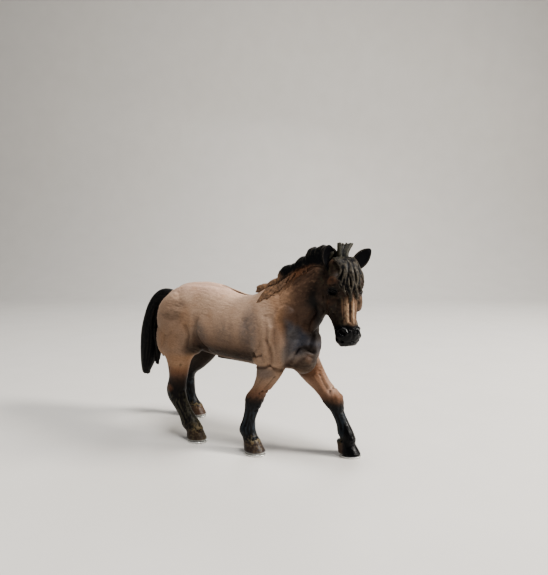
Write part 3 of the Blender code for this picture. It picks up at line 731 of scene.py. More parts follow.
def stroke_all(clay):
    """Every stroke on the barrel, the face and the legs."""
    for path, radius, depth in BODY_STROKES:
        size = (radius * BODY_STROKE_WIDTH, depth * BODY_STROKE_DEPTH)
        clay.stroke(path, *size)
        if any(y != 0 for _, y, _ in path):
            clay.stroke(mirrored(path), *size)
    clay.settle()
    for side in (-1, 1):
        for path, radius, depth in FACE_STROKES:
            clay.stroke([on_head(u, f, side * l) for u, f, l in path], radius, depth)
            clay.settle()
    for path, radius, depth in MIDDLE_STROKES:
        clay.stroke([on_head(*place) for place in path], radius, depth)
    clay.settle()
    for name, rows in LEGS.items():
        strokes = FORELEG_STROKES if "fore" in name else HINDLEG_STROKES
        for path, radius, depth, both in strokes:
            clay.stroke([leg_point(rows, station, angle) for station, angle in path], radius, depth)
            if both:
                other_side = [leg_point(rows, station, 180 - angle) for station, angle in path]
                clay.stroke(other_side, radius, depth)
        clay.settle()


def press_in_hair(clay):
    """Short wavy hairs in the coat that grow back and down, and a rougher face and lower legs."""
    points = clay.points
    u, f, _ = head_coordinates(points)
    on_face = step_up(u, 2, 8) * step_up(f, -16, -12) * step_up(points[:, 0], 46, 50)
    coat = step_up(points[:, 2], 34, 44) * (1 - on_face)
    warp = hash_noise(points, 3.5, 1) * 1.0 + hash_noise(points, 1.6, 2) * 0.6
    across = points[:, 2] * 0.95 + points[:, 0] * 0.22 + warp
    patches = step_up(hash_noise(points, 4.0, 3), -0.5, 0.5)
    relief = np.sin(across * 2 * math.pi / HAIR_WAVELENGTH) * 0.055 * patches
    relief += hash_noise(points * np.array([0.7, 1.0, 1.5]), 1.5, 5) * 0.085
    relief += hash_noise(points, 8.0, 4) * 0.22
    low_leg = 1 - step_up(points[:, 2], 30, 40)
    relief = relief * coat + hash_noise(points * np.array([1.0, 1.0, 0.35]), 0.9, 6) * 0.07 * low_leg
    relief += (hash_noise(points, 1.6, 8) * 0.10 + hash_noise(points, 0.8, 9) * 0.05) * on_face
    points += clay.normals * relief[:, None]
    clay.settle()


def sculpted_skin():
    mesh = with_fine_face(blended("skin", skin_parts(), SKIN_VOXEL, 7))
    clay = Clay(mesh)
    clay.settle()
    soften_joins(clay)
    stroke_all(clay)
    clay.relax(np.full(len(clay.points), 0.35))
    press_in_hair(clay)
    return mesh


# ---------------------------------------------------------------- paint

NECK_CREST = np.array([row[0:3] for row in spline(NECK, 4)])
NECK_THROAT = np.array([row[3:6] for row in spline(NECK, 4)])


def neck_place(points):
    """How far along the neck each point is, and how far down from the crest, both from 0 to 1."""
    middle = (NECK_CREST + NECK_THROAT) / 2
    gap = ((points[:, None, [0, 2]] - middle[None, :, [0, 2]]) ** 2).sum(2)
    nearest = gap.argmin(1)
    down = NECK_THROAT[nearest] - NECK_CREST[nearest]
    share = ((points - NECK_CREST[nearest]) * down).sum(1) / (down * down).sum(1)
    ahead = np.array([1.0, 0.0, 1.0]) / math.sqrt(2)
    total = points @ ahead
    return step_up(total, 74, 103), np.clip(share, 0, 1)


# Paints, and the bend of the surface in millimetres that counts as a full groove or ridge.
FULL_BEND = 0.012
COAT = (0.45, 0.315, 0.23)
ROSE = (0.50, 0.335, 0.26)
TAN = (0.32, 0.185, 0.105)
RUST = (0.17, 0.078, 0.042)
BROWN = (0.085, 0.050, 0.034)
SLATE = (0.13, 0.115, 0.11)
BLUE = (0.045, 0.050, 0.068)
UMBER = (0.022, 0.014, 0.010)
BLACK = (0.003, 0.003, 0.0035)
CLAY = (0.20, 0.125, 0.082)
BONE = (0.40, 0.31, 0.215)
BRONZE = (0.15, 0.115, 0.065)
OLIVE = (0.075, 0.068, 0.042)
# steel blue dry brush for the leg ridges, also standing for painted sheen
STEEL_BRUSH_AND_SHEEN = (0.035, 0.046, 0.058)
SILVER = (0.5, 0.5, 0.48)
HAIR_BLACK = (0.007, 0.007, 0.008)
# painted highlights on the hair's raised strands and on the forelock
HAIR_HIGHLIGHT = (0.060, 0.052, 0.040)
FORELOCK_HIGHLIGHT = (0.13, 0.11, 0.085)
TUFT_OLIVE = (0.026, 0.024, 0.016)
EAR_BLACK = (0.004, 0.004, 0.005)
# painted highlight on the ears' raised edges
EAR_EDGE_HIGHLIGHT = (0.035, 0.030, 0.024)


def lay(colour, paint, mask):
    """Mixes a paint into an array of colours, as far as its mask says."""
    colour += (np.array(paint) - colour) * np.clip(mask, 0, 1)[:, None]


class Coat:
    """The coat's colour and roughness while it is painted, and the noises that break up its edges."""

    def __init__(self, points, cavity):
        self.points = points
        self.cavity = cavity
        self.colour = np.tile(np.array(COAT), (len(points), 1))
        self.rough = np.full(len(points), 0.52)
        self.fine = hash_noise(points, 1.1, 11)
        self.soft = hash_noise(points, 4.5, 12)
        self.streak = hash_noise(points * np.array([0.5, 1.0, 1.6]), 1.3, 13)
        self.barrel = step_up(points[:, 2], 41, 47)

    def lay(self, paint, mask, roughness=None):
        lay(self.colour, paint, mask)
        if roughness is not None:
            self.rough += (roughness - self.rough) * np.clip(mask, 0, 1)

    def spot(self, paint, centre, radii, weight):
        self.lay(paint, near(self.points, centre, radii) * weight)

    def pair(self, paint, centre, radii, weight):
        self.lay(paint, either_side(self.points, centre, radii) * weight)


def paint_barrel(coat):
    """Beige with smudges of grey over the flank, behind the shoulder and on the haunch; dark paint underneath
    with painted shade over it, and painted shade darkening the lower barrel and the far flank by the left
    hind leg.
    """
    x, y, z = coat.points.T
    fine, soft, streak, barrel = coat.fine, coat.soft, coat.streak, coat.barrel
    coat.lay(ROSE, step_up(z, 76, 84) * (1 - step_up(x, 4, 14)) * 0.7)
    coat.lay(TAN, (0.22 + 0.30 * streak) * barrel * step_up(-soft, -0.3, 0.8))
    # painted shade: the barrel darker towards its bottom
    coat.lay(CLAY, (1 - step_up(z, 52, 76)) * barrel * 0.55)
    coat.pair(CLAY, (-44, -15, 60), (20, 14, 26), 0.5 + 0.25 * soft)
    coat.pair(SLATE, (-20, -14, 57), (8, 12, 12), 0.55 + 0.2 * fine)
    coat.pair(SLATE, (12, -14, 62), (7, 12, 19), 0.55 + 0.2 * fine)
    coat.pair(SLATE, (-2, -14, 60), (9, 12, 12), 0.22 + 0.2 * fine)
    coat.pair(UMBER, (-39, -16, 67.4), (11, 12, 4.2), 0.36 + 0.2 * streak)
    coat.pair(UMBER, (-34, -16, 73.5), (9, 12, 3.6), 0.18 + 0.15 * streak)
    coat.pair(TAN, (-30, -16, 66), (6, 12, 10), 0.5)
    coat.pair(BROWN, (-25, -13, 52), (7, 12, 7), 0.5)
    coat.pair(TAN, (-44, -14, 52), (12, 12, 12), 0.4)
    # dark paint with painted shade on the far flank by the left hind leg
    coat.spot(UMBER, (-33, 12, 45), (15, 13, 14), 0.9)
    # painted shade: the lower side of the barrel darker
    low_side_shade = (1 - step_up(z, 51.5, 64)) * barrel * step_up(x, -34, -22) * (1 - step_up(x, 9, 16))
    coat.lay(BROWN, low_side_shade * 0.8)
    # dark paint under the belly, with painted shade under the barrel
    underside_dark_and_shade = (1 - step_up(z + 0.1 * np.abs(y), 50.6, 57)) * barrel * step_up(x, -36, -24)
    coat.lay(UMBER, underside_dark_and_shade * (1 - step_up(x, 10, 17)) * (0.9 + 0.2 * fine))
    # dark paint between the legs, with painted shade there
    inner = step_up(-np.abs(y), -8.5, -4.5) * (1 - step_up(z, 50, 56)) * (1 - step_up(x, 26, 34))
    coat.lay(UMBER, inner * 0.95)


def paint_neck(coat):
    """Tan on the crest, brown in the middle, black towards the throat."""
    points, fine, soft, streak = coat.points, coat.fine, coat.soft, coat.streak
    x, _, z = points.T
    along, downward = neck_place(points)
    on_neck = step_up(x + 0.8 * z + 1.2 * soft, 80, 87)
    coat.lay(TAN, on_neck * 0.72)
    upper = step_up(0.95 - downward + 0.2 * streak, 0.3, 0.75)
    coat.lay(RUST, on_neck * upper * step_up(along, -0.1, 0.4) * 0.5)
    coat.lay(BROWN, on_neck * step_up(along + 0.75 * downward + 0.08 * fine, 0.18, 0.62) * 0.93)
    coat.lay(UMBER, on_neck * step_up(downward + 0.60 * along + 0.06 * fine, 0.60, 0.98) * 0.93)
    strands = step_up(hash_noise(points * np.array([0.55, 1.0, 1.1]), 0.8, 14), 0.1, 0.9)
    coat.lay(CLAY, on_neck * strands * step_up(0.80 - downward, 0.0, 0.40) * 0.5)
    coat.pair(BROWN, (33, -11, 72), (6, 8, 8), 0.75 + 0.2 * streak)
    coat.lay(BLACK, on_neck * step_up(downward + 0.40 * along, 0.66, 0.95) * step_up(x + z, 101, 107) * 0.95)
    coat.pair(TAN, (30.5, -12, 69.5), (6, 8, 8), 0.5)
    coat.pair(RUST, (29, -12, 63), (5, 8, 8), 0.25)
    coat.pair(BROWN, (38, -8, 70), (11, 11, 11), 0.9 + 0.1 * fine)
    return on_neck


def paint_chest(coat):
    """Blue grey with dark clefts, brown between the legs."""
    x, _, z = coat.points.T
    fine = coat.fine
    front = step_up(x, 31, 36) * step_up(z, 45, 50) * (1 - step_up(x + z, 100, 106))
    coat.lay(SLATE, front * 0.75)
    coat.lay(BLUE, front * step_up(z, 51, 56) * (0.8 + 0.3 * fine))
    coat.spot(SLATE, (35.5, -10, 61), (4, 6, 7), 0.5 + 0.3 * fine)
    coat.spot(SLATE, (33.5, -11, 52), (4, 6, 8), 0.7)
    coat.pair(BROWN, (39, -4, 49), (9, 8, 7.5), 0.9 + 0.2 * coat.soft)
    coat.pair(UMBER, (40, -3, 47), (9, 9, 8), 0.8)
    coat.pair(RUST, (41.5, -5, 50.5), (2.4, 3, 3), 0.5)
    coat.pair(UMBER, (41, -4, 55.6), (8, 9, 3.2), 0.85)
    coat.pair(UMBER, (42, -1, 62), (5, 5, 7), 0.6)
    coat.pair(BROWN, (34, -6, 46), (10, 10, 8), 0.95)
    coat.pair(UMBER, (34, -6, 45), (11, 10, 5.5), 0.95)
    coat.spot(ROSE, (39, 9, 54), (6, 6, 10), 0.45)


def paint_foreleg(coat, mine, right):
    """Warm bands that darken to black, on the left leg a little lower than on the right."""
    z = coat.points[:, 2]
    fine, soft = coat.fine, coat.soft
    drop = 0.0 if right else -2.5
    coat.lay(CLAY, mine * (0.8 if right else 0.55))
    coat.spot(SLATE, (22, -14, 44), (8, 8, 5), mine * 0.5)
    coat.lay(RUST, mine * (1 - step_up(z + 1.2 * soft, 31.5 + drop, 39.5 + drop)) * 0.85)
    coat.spot(BROWN, (33, 6, 42), (9, 9, 6), mine * 0.85)
    coat.spot(RUST, (40, 7, 40), (10, 9, 10), mine * 0.6)
    coat.spot(ROSE, (46, 7.5, 33), (3, 5, 4), mine * 0.5)
    coat.lay(BROWN, mine * (1 - step_up(z + 1.2 * soft, 31.0 + drop, 36.5 + drop)) * 0.45)
    coat.lay(UMBER, mine * (1 - step_up(z + 0.8 * fine, 28.5 + drop, 33.0 + drop)) * 0.93)
    coat.lay(BLACK, mine * (1 - step_up(z + 0.5 * fine, 26.5 + drop, 31.0 + drop)), 0.4)


def paint_hind_leg(coat, mine, right):
    """The right leg has warm bands that darken to black; the left is dark paint from the thigh down, with
    painted shade over the far thigh.
    """
    x, y, z = coat.points.T
    fine, soft = coat.fine, coat.soft
    if right:
        coat.lay(TAN, mine * 0.8)
        coat.lay(RUST, mine * (1 - step_up(z + 0.8 * soft, 36, 42)) * 0.8)
        coat.lay(BROWN, mine * (1 - step_up(z + 0.8 * soft, 33, 38)) * 0.8)
        coat.lay(UMBER, mine * (1 - step_up(z + 0.8 * fine, 30.5, 36.5)) * 0.92)
        coat.lay(BLACK, mine * (1 - step_up(z + 0.6 * fine, 26, 33)) * 0.85, 0.42)
        coat.spot(RUST, (-40, -17.5, 27.4), (4.5, 4, 3), 0.5)
    else:
        # the far thigh: dark paint with painted shade over it
        thigh = (1 - step_up(z + 1.5 * soft, 42, 55)) * (1 - step_up(x, -24, -14)) * (y > 0)
        coat.lay(UMBER, thigh * 0.97)
        coat.lay(BLACK, mine * (1 - step_up(z, 26, 40)), 0.4)


def paint_hoof(coat, mine, right, sole_x, sole_y):
    """Bronze brushed over the coronet and in streaks down the wall, silver at the sole."""
    points = coat.points
    z = points[:, 2]
    mottled = hash_noise(points, 0.6, 24) + 0.5 * coat.fine + 0.6 * coat.cavity
    top = near(points, (sole_x + 0.5, sole_y, 8.2), (8.5, 8, 4.2))
    coat.lay(BRONZE, top * step_up(mottled, 0.0, 0.8) * 0.8, 0.3)
    wall = (1 - step_up(z, 7.2, 8.6)) * mine
    coat.lay(BROWN, wall * (0.3 if right else 0.7))
    streaks = step_up(hash_noise(points * np.array([1, 1, 2.6]), 1.0, 21), 0.1, 0.7)
    coat.lay(BRONZE, wall * streaks * 0.35, 0.33)
    coat.lay(SILVER, mine * (1 - step_up(z, 2.75, 3.1)) * 0.85, 0.25)


def paint_legs(coat):
    points = coat.points
    x, y, z = points.T
    for name, (sole_x, sole_y, _) in HOOVES.items():
        fore, right = "fore" in name, "right" in name
        mine = (1 - step_up(z, 44, 48)) * ((x > -2) == fore) * ((y < 0) == right)
        (paint_foreleg if fore else paint_hind_leg)(coat, mine, right)
        ridged = hash_noise(points * np.array([1.0, 1.0, 0.28]), 0.55, 22) * 0.6 + 0.9 * coat.cavity
        # dry brush on the raised ridges of the lower legs: olive on the right hind leg, and on the others
        # steel blue that is also painted sheen
        brushed = mine * (1 - step_up(z, 20, 28)) * step_up(ridged, 0.15, 1.0)
        coat.lay(OLIVE if right and not fore else STEEL_BRUSH_AND_SHEEN, brushed * (0.6 if right else 0.5))
        paint_hoof(coat, mine, right, sole_x, sole_y)
    coat.spot(UMBER, (39, -2, 48), (9, 10, 9), 0.85)


def paint_head(coat):
    """Dark brown and olive, warm brows and cheekbones, a bone-coloured nose and a black muzzle."""
    points, fine, soft = coat.points, coat.fine, coat.soft
    x = points[:, 0]
    u, f, l = head_coordinates(points)
    turned = np.stack([u, f, l], 1)
    folded = np.stack([u, f, np.abs(l)], 1)
    on_face = step_up(x, 46.5, 49.5) * step_up(u, -4, 1) * step_up(f, -20, -16)
    coat.lay(UMBER, on_face * 0.95)
    coat.lay(BROWN, on_face * step_up(coat.streak + soft, -0.2, 0.8) * 0.3)
    coat.lay(OLIVE, on_face * step_up(hash_noise(points, 1.4, 34) + 0.5 * fine, 0.1, 0.9) * 0.4)
    coat.lay(BROWN, near(folded, (16, -9, 9), (7, 6, 5)) * (0.25 + 0.25 * fine))
    coat.lay(RUST, near(folded, (8, -2, 7.6), (2.8, 4, 3.4)) * (0.42 + 0.35 * fine))
    coat.lay(RUST, near(folded, (17.2, -5, 6.6), (2.6, 3.6, 3)) * (0.42 + 0.35 * fine))
    coat.lay(CLAY, near(turned, (19.5, -1.6, 6), (7, 5, 3.6)) * (0.45 + 0.3 * fine))
    front = step_up(f - 0.45 * np.maximum(18 - u, 0), -3.4, -1.2)
    bent = turned * np.array([0.42, 1.0, 1.0]) + 0.8 * hash_noise(turned, 1.4, 33)[:, None]
    scratches = hash_noise(bent, 0.5, 31) + 0.8 * coat.cavity
    nose = near(turned, (21.6, -0.2, -0.4), (9.5, 4.5, 5.6)) * front
    coat.lay(CLAY, nose * 0.85)
    coat.lay(TAN, nose * step_up(scratches, -0.2, 0.6) * 0.5)
    for middle in (-2.4, 0.5):
        stripe = near(turned, (22, 0.2, middle), (8, 2.6, 1.3)) * front
        coat.lay(BONE, stripe * step_up(scratches, -0.1, 0.6) * 0.5)
    coat.lay(UMBER, near(turned, (20.5, 0.6, -0.9), (6.5, 2.6, 0.7)) * 0.75)
    coat.lay(UMBER, nose * (1 - step_up(scratches, -0.75, -0.35)) * 0.5)
    coat.lay(BONE, near(folded, (27.8, -0.2, 3.6), (2, 1.8, 1.8)) * 0.5)
    coat.lay(BLACK, near(folded, (12.4, -2.4, 7.4), (2.6, 3.8, 3.4)) * 1.5, 0.35)
    eye = near(folded, (12.5, -2.4, 7.5), (1.9, 2.2, 3))
    coat.lay(BLACK, step_up(eye, 0.2, 0.5), 0.1)
    muzzle = step_up(u + 0.7 * soft + 0.25 * np.abs(l), 27.6, 29.8) * step_up(x, 52, 54)
    coat.lay(BLACK, muzzle, 0.22)
    return on_face


def skin_paint(points, cavity):
    """Colour and roughness for each point of the coat."""
    coat = Coat(points, cavity)
    paint_barrel(coat)
    on_neck = paint_neck(coat)
    paint_chest(coat)
    paint_legs(coat)
    on_face = paint_head(coat)
    # dark paint washed into the grooves that is also painted shade there, and paint dry-brushed over the
    # raised parts that is also painted highlight
    groove_wash_and_shade = 0.14 + 0.5 * np.maximum(1 - coat.barrel, on_face)
    coat.colour *= (1 - groove_wash_and_shade * np.clip(-cavity, 0, 1))[:, None]
    coat.lay(BONE, np.clip(cavity - 0.35, 0, 1) * 0.10 * coat.barrel * (1 - on_neck))
    return coat.colour, coat.rough


def paint(mesh, painter):
    """Lays a painter's colour and roughness on a mesh, and tells it how hollow each point is."""
    clay = Clay(mesh)
    cavity = ((clay.points - clay.neighbour_mean(clay.points)) * clay.normals).sum(1)
    for _ in range(3):
        cavity = clay.neighbour_mean(cavity)
    colour, rough = painter(clay.points, np.clip(cavity / FULL_BEND, -1, 1))
    layer = mesh.color_attributes.new("paint", "FLOAT_COLOR", "POINT")
    values = np.concatenate([np.clip(colour, 0, 1), np.clip(rough, 0.03, 1)[:, None]], 1)
    layer.data.foreach_set("color", values.astype(np.float32).ravel())


def hair_paint(points, cavity):
    """Black hair with painted highlights on its ridges and painted shade in its grooves; tan and brown at the
    withers and along the mane's lower edge.
    """
    x, y, z = points.T
    fine = hash_noise(points, 0.9, 41)
    colour = np.tile(np.array(HAIR_BLACK), (len(points), 1))
    on_neck = step_up(x, 8, 10)
    # painted highlight on the raised strands
    lay(colour, HAIR_HIGHLIGHT, step_up(cavity + 0.5 * fine, 0.2, 0.95) * (0.2 + 0.45 * on_neck))
    # painted highlight on the forelock's raised strands
    lay(colour, FORELOCK_HIGHLIGHT, step_up(x, 53, 56) * step_up(fine + 0.9 * cavity, -0.4, 0.7) * 0.27)
    crest_z = np.interp(x, NECK_CREST[:, 0], NECK_CREST[:, 2])
    root = on_neck * (1 - step_up(x + 0.9 * fine + 0.9 * np.maximum(z - crest_z, 0), 22.5, 27.0))
    below = step_up(crest_z - z - 0.6 + 0.5 * fine, 0.0, 2.0) * step_up(-y, 1, 3)
    below *= on_neck * (1 - step_up(x, 49, 50.5))
    lay(colour, CLAY, np.maximum(root, below * (1 - step_up(x, 30, 36))) * 0.9)
    lay(colour, TAN, root * step_up(fine, -0.2, 0.6) * 0.7)
    lay(colour, RUST, below * step_up(x, 26, 34) * (1 - step_up(x, 40, 47)) * 0.7)
    lay(colour, BROWN, below * step_up(x, 34, 42) * 0.6)
    above = -head_coordinates(points)[0]
    lay(colour, TUFT_OLIVE, step_up(above, 1.0, 3.5) * step_up(x, 52, 54) * step_up(fine + cavity, -0.6, 0.5))
    strand = hash_noise(points * np.array([0.6, 0.5, 1.0]), 0.5, 43)
    # painted shade in the grooves between strands, and some strands darker at random
    colour *= (1 - 0.8 * np.clip(-cavity, 0, 1))[:, None] * (1 - 0.35 * step_up(strand, 0.0, 0.6))[:, None]
    return colour, np.full(len(points), 0.45)


def ear_paint(points, cavity):
    """Dull black with a painted highlight along the raised edges."""
    colour = np.tile(np.array(EAR_BLACK), (len(points), 1))
    # painted highlight on the raised edges
    lay(colour, EAR_EDGE_HIGHLIGHT, step_up(cavity + 0.4 * hash_noise(points, 1.0, 51), 0.3, 1.0) * 0.5)
    return colour, np.full(len(points), 0.65)


# ---------------------------------------------------------------- materials


def new_material(name):
    """A material with its surface node."""
    material = bpy.data.materials.new(name)
    material.use_nodes = True
    return material, material.node_tree.nodes["Principled BSDF"]


def add_node(material, kind, inputs=None, **settings):
    """A node of a kind, with the values of its inputs by name or place, and its other settings."""
    node = material.node_tree.nodes.new("ShaderNode" + kind)
    for setting, value in settings.items():
        setattr(node, setting, value)
    for key, value in (inputs or {}).items():
        node.inputs[key].default_value = value
    return node


def link(material, start, output, end, entry):
    material.node_tree.links.new(start.outputs[output], end.inputs[entry])


def add_bump(material, surface, source, strength, height):
    """Relief on a surface, from a noise and its height in millimetres."""
    bump = add_node(material, "Bump", {"Strength": strength, "Distance": height * MM})
    link(material, source, "Fac", bump, "Height")
    link(material, bump, "Normal", surface, "Normal")


def paint_material(name, bump_size, bump_height, speckle, specular, stretch=(1.0, 1.0, 1.0)):
    """Painted vinyl: the laid-on colour, broken up by fine noise, with brush and hair marks in relief."""
    material, surface = new_material(name)
    surface.inputs["IOR"].default_value = 1.45
    surface.inputs["Specular IOR Level"].default_value = specular
    laid = add_node(material, "VertexColor", layer_name="paint")
    where = add_node(material, "TexCoord")
    stretched = add_node(material, "Mapping", {"Scale": stretch})
    link(material, where, "Object", stretched, "Vector")
    grain = add_node(material, "TexNoise", {"Scale": 1.0 / (0.55 * MM), "Detail": 4.0})
    link(material, stretched, "Vector", grain, "Vector")
    shades = {"From Min": 0.3, "From Max": 0.7, "To Min": 1.0 - speckle, "To Max": 1.0 + speckle}
    shade = add_node(material, "MapRange", shades)
    link(material, grain, "Fac", shade, "Value")
    tint = add_node(material, "VectorMath", operation="SCALE")
    link(material, laid, "Color", tint, 0)
    link(material, shade, "Result", tint, "Scale")
    link(material, tint, "Vector", surface, "Base Color")
    # roughness: the laid-on value, raised and lowered by the grain
    lowered = add_node(material, "Math", {1: 0.08}, operation="SUBTRACT")
    link(material, laid, "Alpha", lowered, 0)
    uneven = add_node(material, "Math", {1: 0.16}, operation="MULTIPLY_ADD")
    link(material, grain, "Fac", uneven, 0)
    link(material, lowered, "Value", uneven, 2)
    link(material, uneven, "Value", surface, "Roughness")
    marks = {"Scale": 1.0 / (bump_size * MM), "Detail": 3.0, "Distortion": 0.6}
    hairs = add_node(material, "TexNoise", marks)
    link(material, stretched, "Vector", hairs, "Vector")
    add_bump(material, surface, hairs, 0.6, bump_height)
    return material


def plain_material(name, colour, roughness, metallic=0.0, bump_height=0.0, bump_size=1.0, darkest=None):
    """One colour that noise darkens here and there, down to the darkest tone."""
    material, surface = new_material(name)
    surface.inputs["Metallic"].default_value = metallic
    where = add_node(material, "TexCoord")
    grain = add_node(material, "TexNoise", {"Scale": 1.0 / (bump_size * MM), "Detail": 5.0})
    link(material, where, "Object", grain, "Vector")
    tones = add_node(material, "ValToRGB")
    low_tone, high_tone = tones.color_ramp.elements
    low_tone.position, high_tone.position = 0.3, 0.7
    low_tone.color = (*(darkest or [channel * 0.6 for channel in colour]), 1)
    high_tone.color = (*colour, 1)
    link(material, grain, "Fac", tones, "Fac")
    link(material, tones, "Color", surface, "Base Color")
    gloss_range = {"To Min": roughness + 0.12, "To Max": max(roughness - 0.12, 0.05)}
    gloss = add_node(material, "MapRange", gloss_range)
    link(material, grain, "Fac", gloss, "Value")
    link(material, gloss, "Result", surface, "Roughness")
    if bump_height:
        add_bump(material, surface, grain, 0.5, bump_height)
    return material


# ---------------------------------------------------------------- pieces of skin


def carved(mesh, keep, holes=()):
    """A copy of a mesh cut to a region, with holes taken out of it."""
    obj = bpy.data.objects.new("carved", mesh.copy())
    bpy.context.scene.collection.objects.link(obj)
    for cutter, operation in [(keep, "INTERSECT")] + [(hole, "DIFFERENCE") for hole in holes]:
        modifier = obj.modifiers.new(cutter.name, "BOOLEAN")
        modifier.operation = operation
        modifier.solver = "MANIFOLD"
        modifier.object = cutter
    return baked(obj)


def surface_of(mesh):
    """Finds the nearest place on a mesh: its point and its normal."""
    shape = bmesh.new()
    shape.from_mesh(mesh)
    tree = BVHTree.FromBMesh(shape)
    shape.free()
    return lambda point: tree.find_nearest(point)[:2]


def make_skin(coat):
    """The painted skin, cut into its pieces; gives back a way to lay hair on it."""
    skin = sculpted_skin()
    on_skin = surface_of(skin)
    rows = [row for row in spline(TORSO, 4) if CHAMBER_BACK_X <= row[0] <= CHAMBER_FRONT_X]
    recess_size = (STOPPER_LENGTH + 2 * STOPPER_RIM, STOPPER_WIDTH + 2 * STOPPER_RIM)
    holes = [
        loft("chamber", [torso_ring(row, WALL_THICKNESS, FLOOR_THICKNESS) for row in rows]),
        prism("slot", rounded_slot(SLOT_CENTRE_X, SLOT_LENGTH, SLOT_WIDTH), 68, 95),
        prism("stopper_hole", rounded_slot(STOPPER_CENTRE_X, STOPPER_LENGTH, STOPPER_WIDTH), 38, 56),
        prism("stopper_recess", rounded_slot(STOPPER_CENTRE_X, *recess_size), 38, STOPPER_RIM_TOP_Z),
    ]
    half = HAIRLINE / 2
    seam = LEG_SEAM_Z + half
    line = NECK_SEAM_SUM - half
    outline = [(-90, seam), (line - seam, seam), (line - 120, 120), (-90, 120)]
    cutters = list(holes)
    pieces = {}
    for name, low_y, high_y in (("torso_right_half", -40, -half), ("torso_left_half", half, 40)):
        region = slab(name + "_region", outline, low_y, high_y)
        cutters.append(region)
        pieces[name] = carved(skin, region, holes)
    line = NECK_SEAM_SUM + half
    region = slab("front_region", [(line - 40, 40), (130, 40), (130, 130), (line - 130, 130)], -40, 40)
    cutters.append(region)
    pieces["neck_and_head"] = carved(skin, region)
    for name in LEGS:
        x_low, x_high = (0, 90) if "fore" in name else (-90, 0)
        y_low, y_high = (-40, 0) if "right" in name else (0, 40)
        region = block(name + "_region", (x_low, y_low, -5), (x_high, y_high, LEG_SEAM_Z - half))
        cutters.append(region)
        pieces[name] = carved(skin, region)
    for cutter in cutters:
        bpy.data.objects.remove(cutter)
    for name, mesh in pieces.items():
        paint(mesh, skin_paint)
        mesh.materials.clear()
        mesh.materials.append(coat)
        for polygon in mesh.polygons:
            polygon.material_index = 0
        placed(name + "_skin", mesh, name)
    return on_skin


# ---------------------------------------------------------------- hair


def bundle(name, strands, extra=(), voxel=HAIR_VOXEL, smoothing=1):
    parts = [loft(name, tube(points, radii)) for points, radii in strands]
    return blended(name, parts + list(extra), voxel, smoothing)


# Locks of the mane: middle and half width along the neck, and height of the top.
MANE_LOCKS = (
    (13.5, 3.5, 85.5),
    (19.0, 4.0, 88.0),
    (26.5, 4.5, 95.0),
    (31.0, 2.5, 96.0),
    (36.5, 4.0, 99.5),
    (42.5, 3.5, 104.0),
    (47.0, 4.0, 105.0),
    (52.0, 2.5, 103.5),
)
WISPS = 15


def make_mane(hair, chance, on_skin):
    stations = NECK_CREST[:, 0]

    def crest(x):
        return Vector((x, np.interp(x, stations, NECK_CREST[:, 1]), np.interp(x, stations, NECK_CREST[:, 2])))

    strands = []
    for middle, half_width, top_z in MANE_LOCKS:
        count = round(half_width * 2.1)
        fall = 7.0 + 0.1 * (middle - 12) + chance.uniform(-1.0, 1.5)
        lean = chance.uniform(-0.6, 0.6)
        for strand in range(count + 1):
            share = 2 * strand / count - 1
            base = crest(middle + half_width * share * 0.9)
            ahead = (crest(base.x + 0.5) - crest(base.x - 0.5)).normalized()
            rise = Vector((-ahead.z, 0, ahead.x))
            height = max(top_z - crest(middle).z, 0.6)
            arch = height * math.sqrt(max(1 - 0.86 * share * share, 0)) - 0.7 + chance.uniform(-0.15, 0.15)
            gather = -0.42 * half_width * share
            wave = chance.uniform(-0.4, 0.4)
            path = [
                base + rise * -2.6 + Vector((0, -3.4, 0)) - ahead * (2.2 - 0.5 * gather),
                base + rise * (arch * 0.10 - 0.6) + Vector((0, -3.1, 0)) - ahead * (1.2 - 0.6 * gather),
                base + rise * (arch * 0.72) + Vector((0, -2.2, 0)) - ahead * (0.4 + lean),
                base + rise * arch + Vector((0, -0.3, 0)) + ahead * 0.2,
                base + rise * (arch * 0.62) + Vector((0, 2.3, 0)) + ahead * 0.5,
                base + rise * -1.6 + Vector((0, 4.4, 0)) + ahead * (0.2 + gather * 0.6 + wave),
                base + rise * (-0.55 * fall) + Vector((0, 6.1, 0)) - ahead * (0.5 - gather + wave),
                base + rise * (-0.8 * fall) + Vector((0, 7.0, 0)) - ahead * (1.4 - gather * 1.4),
                base + rise * -fall + Vector((0, 7.4, 0)) - ahead * (1.0 - gather * 2.0),
            ]
            strands.append((path, (0.3, 0.6, 0.8, 0.85, 0.85, 0.8, 0.75, 0.6, 0.25)))
    for wisp in range(WISPS):
        share = wisp / (WISPS - 1)
        start_x = 18.0 + 22.5 * share
        length = 9.5 - 5.0 * share + chance.uniform(-1.2, 1.0)
        back = 2.6 - 0.4 * share + chance.uniform(-0.5, 0.8)
        for strand in range(3):
            path = []
            for step in range(6):
                along = step / 5
                x = start_x + (strand - 1) * 1.25 * (1 - 0.35 * along) - back * along**0.8
                x += 0.5 * math.sin(along * 5)
                z = crest(start_x).z + 0.6 - length * along
                spot, normal = on_skin(Vector((x, -4.0 - 8.0 * along, z)))
                path.append(spot + normal * (0.45 - 0.35 * along))
            strands.append((path, (0.42, 0.42, 0.4, 0.36, 0.3, 0.18)))
    mesh = bundle("mane", strands)
    paint(mesh, hair_paint)
    mesh.materials.append(hair)
    placed("mane_locks", mesh, "mane")


# Clumps of forelock: side at the root, side at the tip, length, waviness.
FORELOCK_CLUMPS = (
    (-3.6, -5.6, 12.5, 0.9),
    (-2.7, -3.8, 15.5, 1.2),
    (-1.6, -2.0, 18.0, 1.2),
    (-0.5, -0.2, 18.5, 1.0),
    (0.6, 1.4, 18.0, 1.2),
    (1.8, 3.4, 16.5, 1.2),
    (3.0, 5.6, 14.5, 1.0),
    (4.2, 7.6, 11.0, 0.8),
)
TUFT_STRANDS = 26


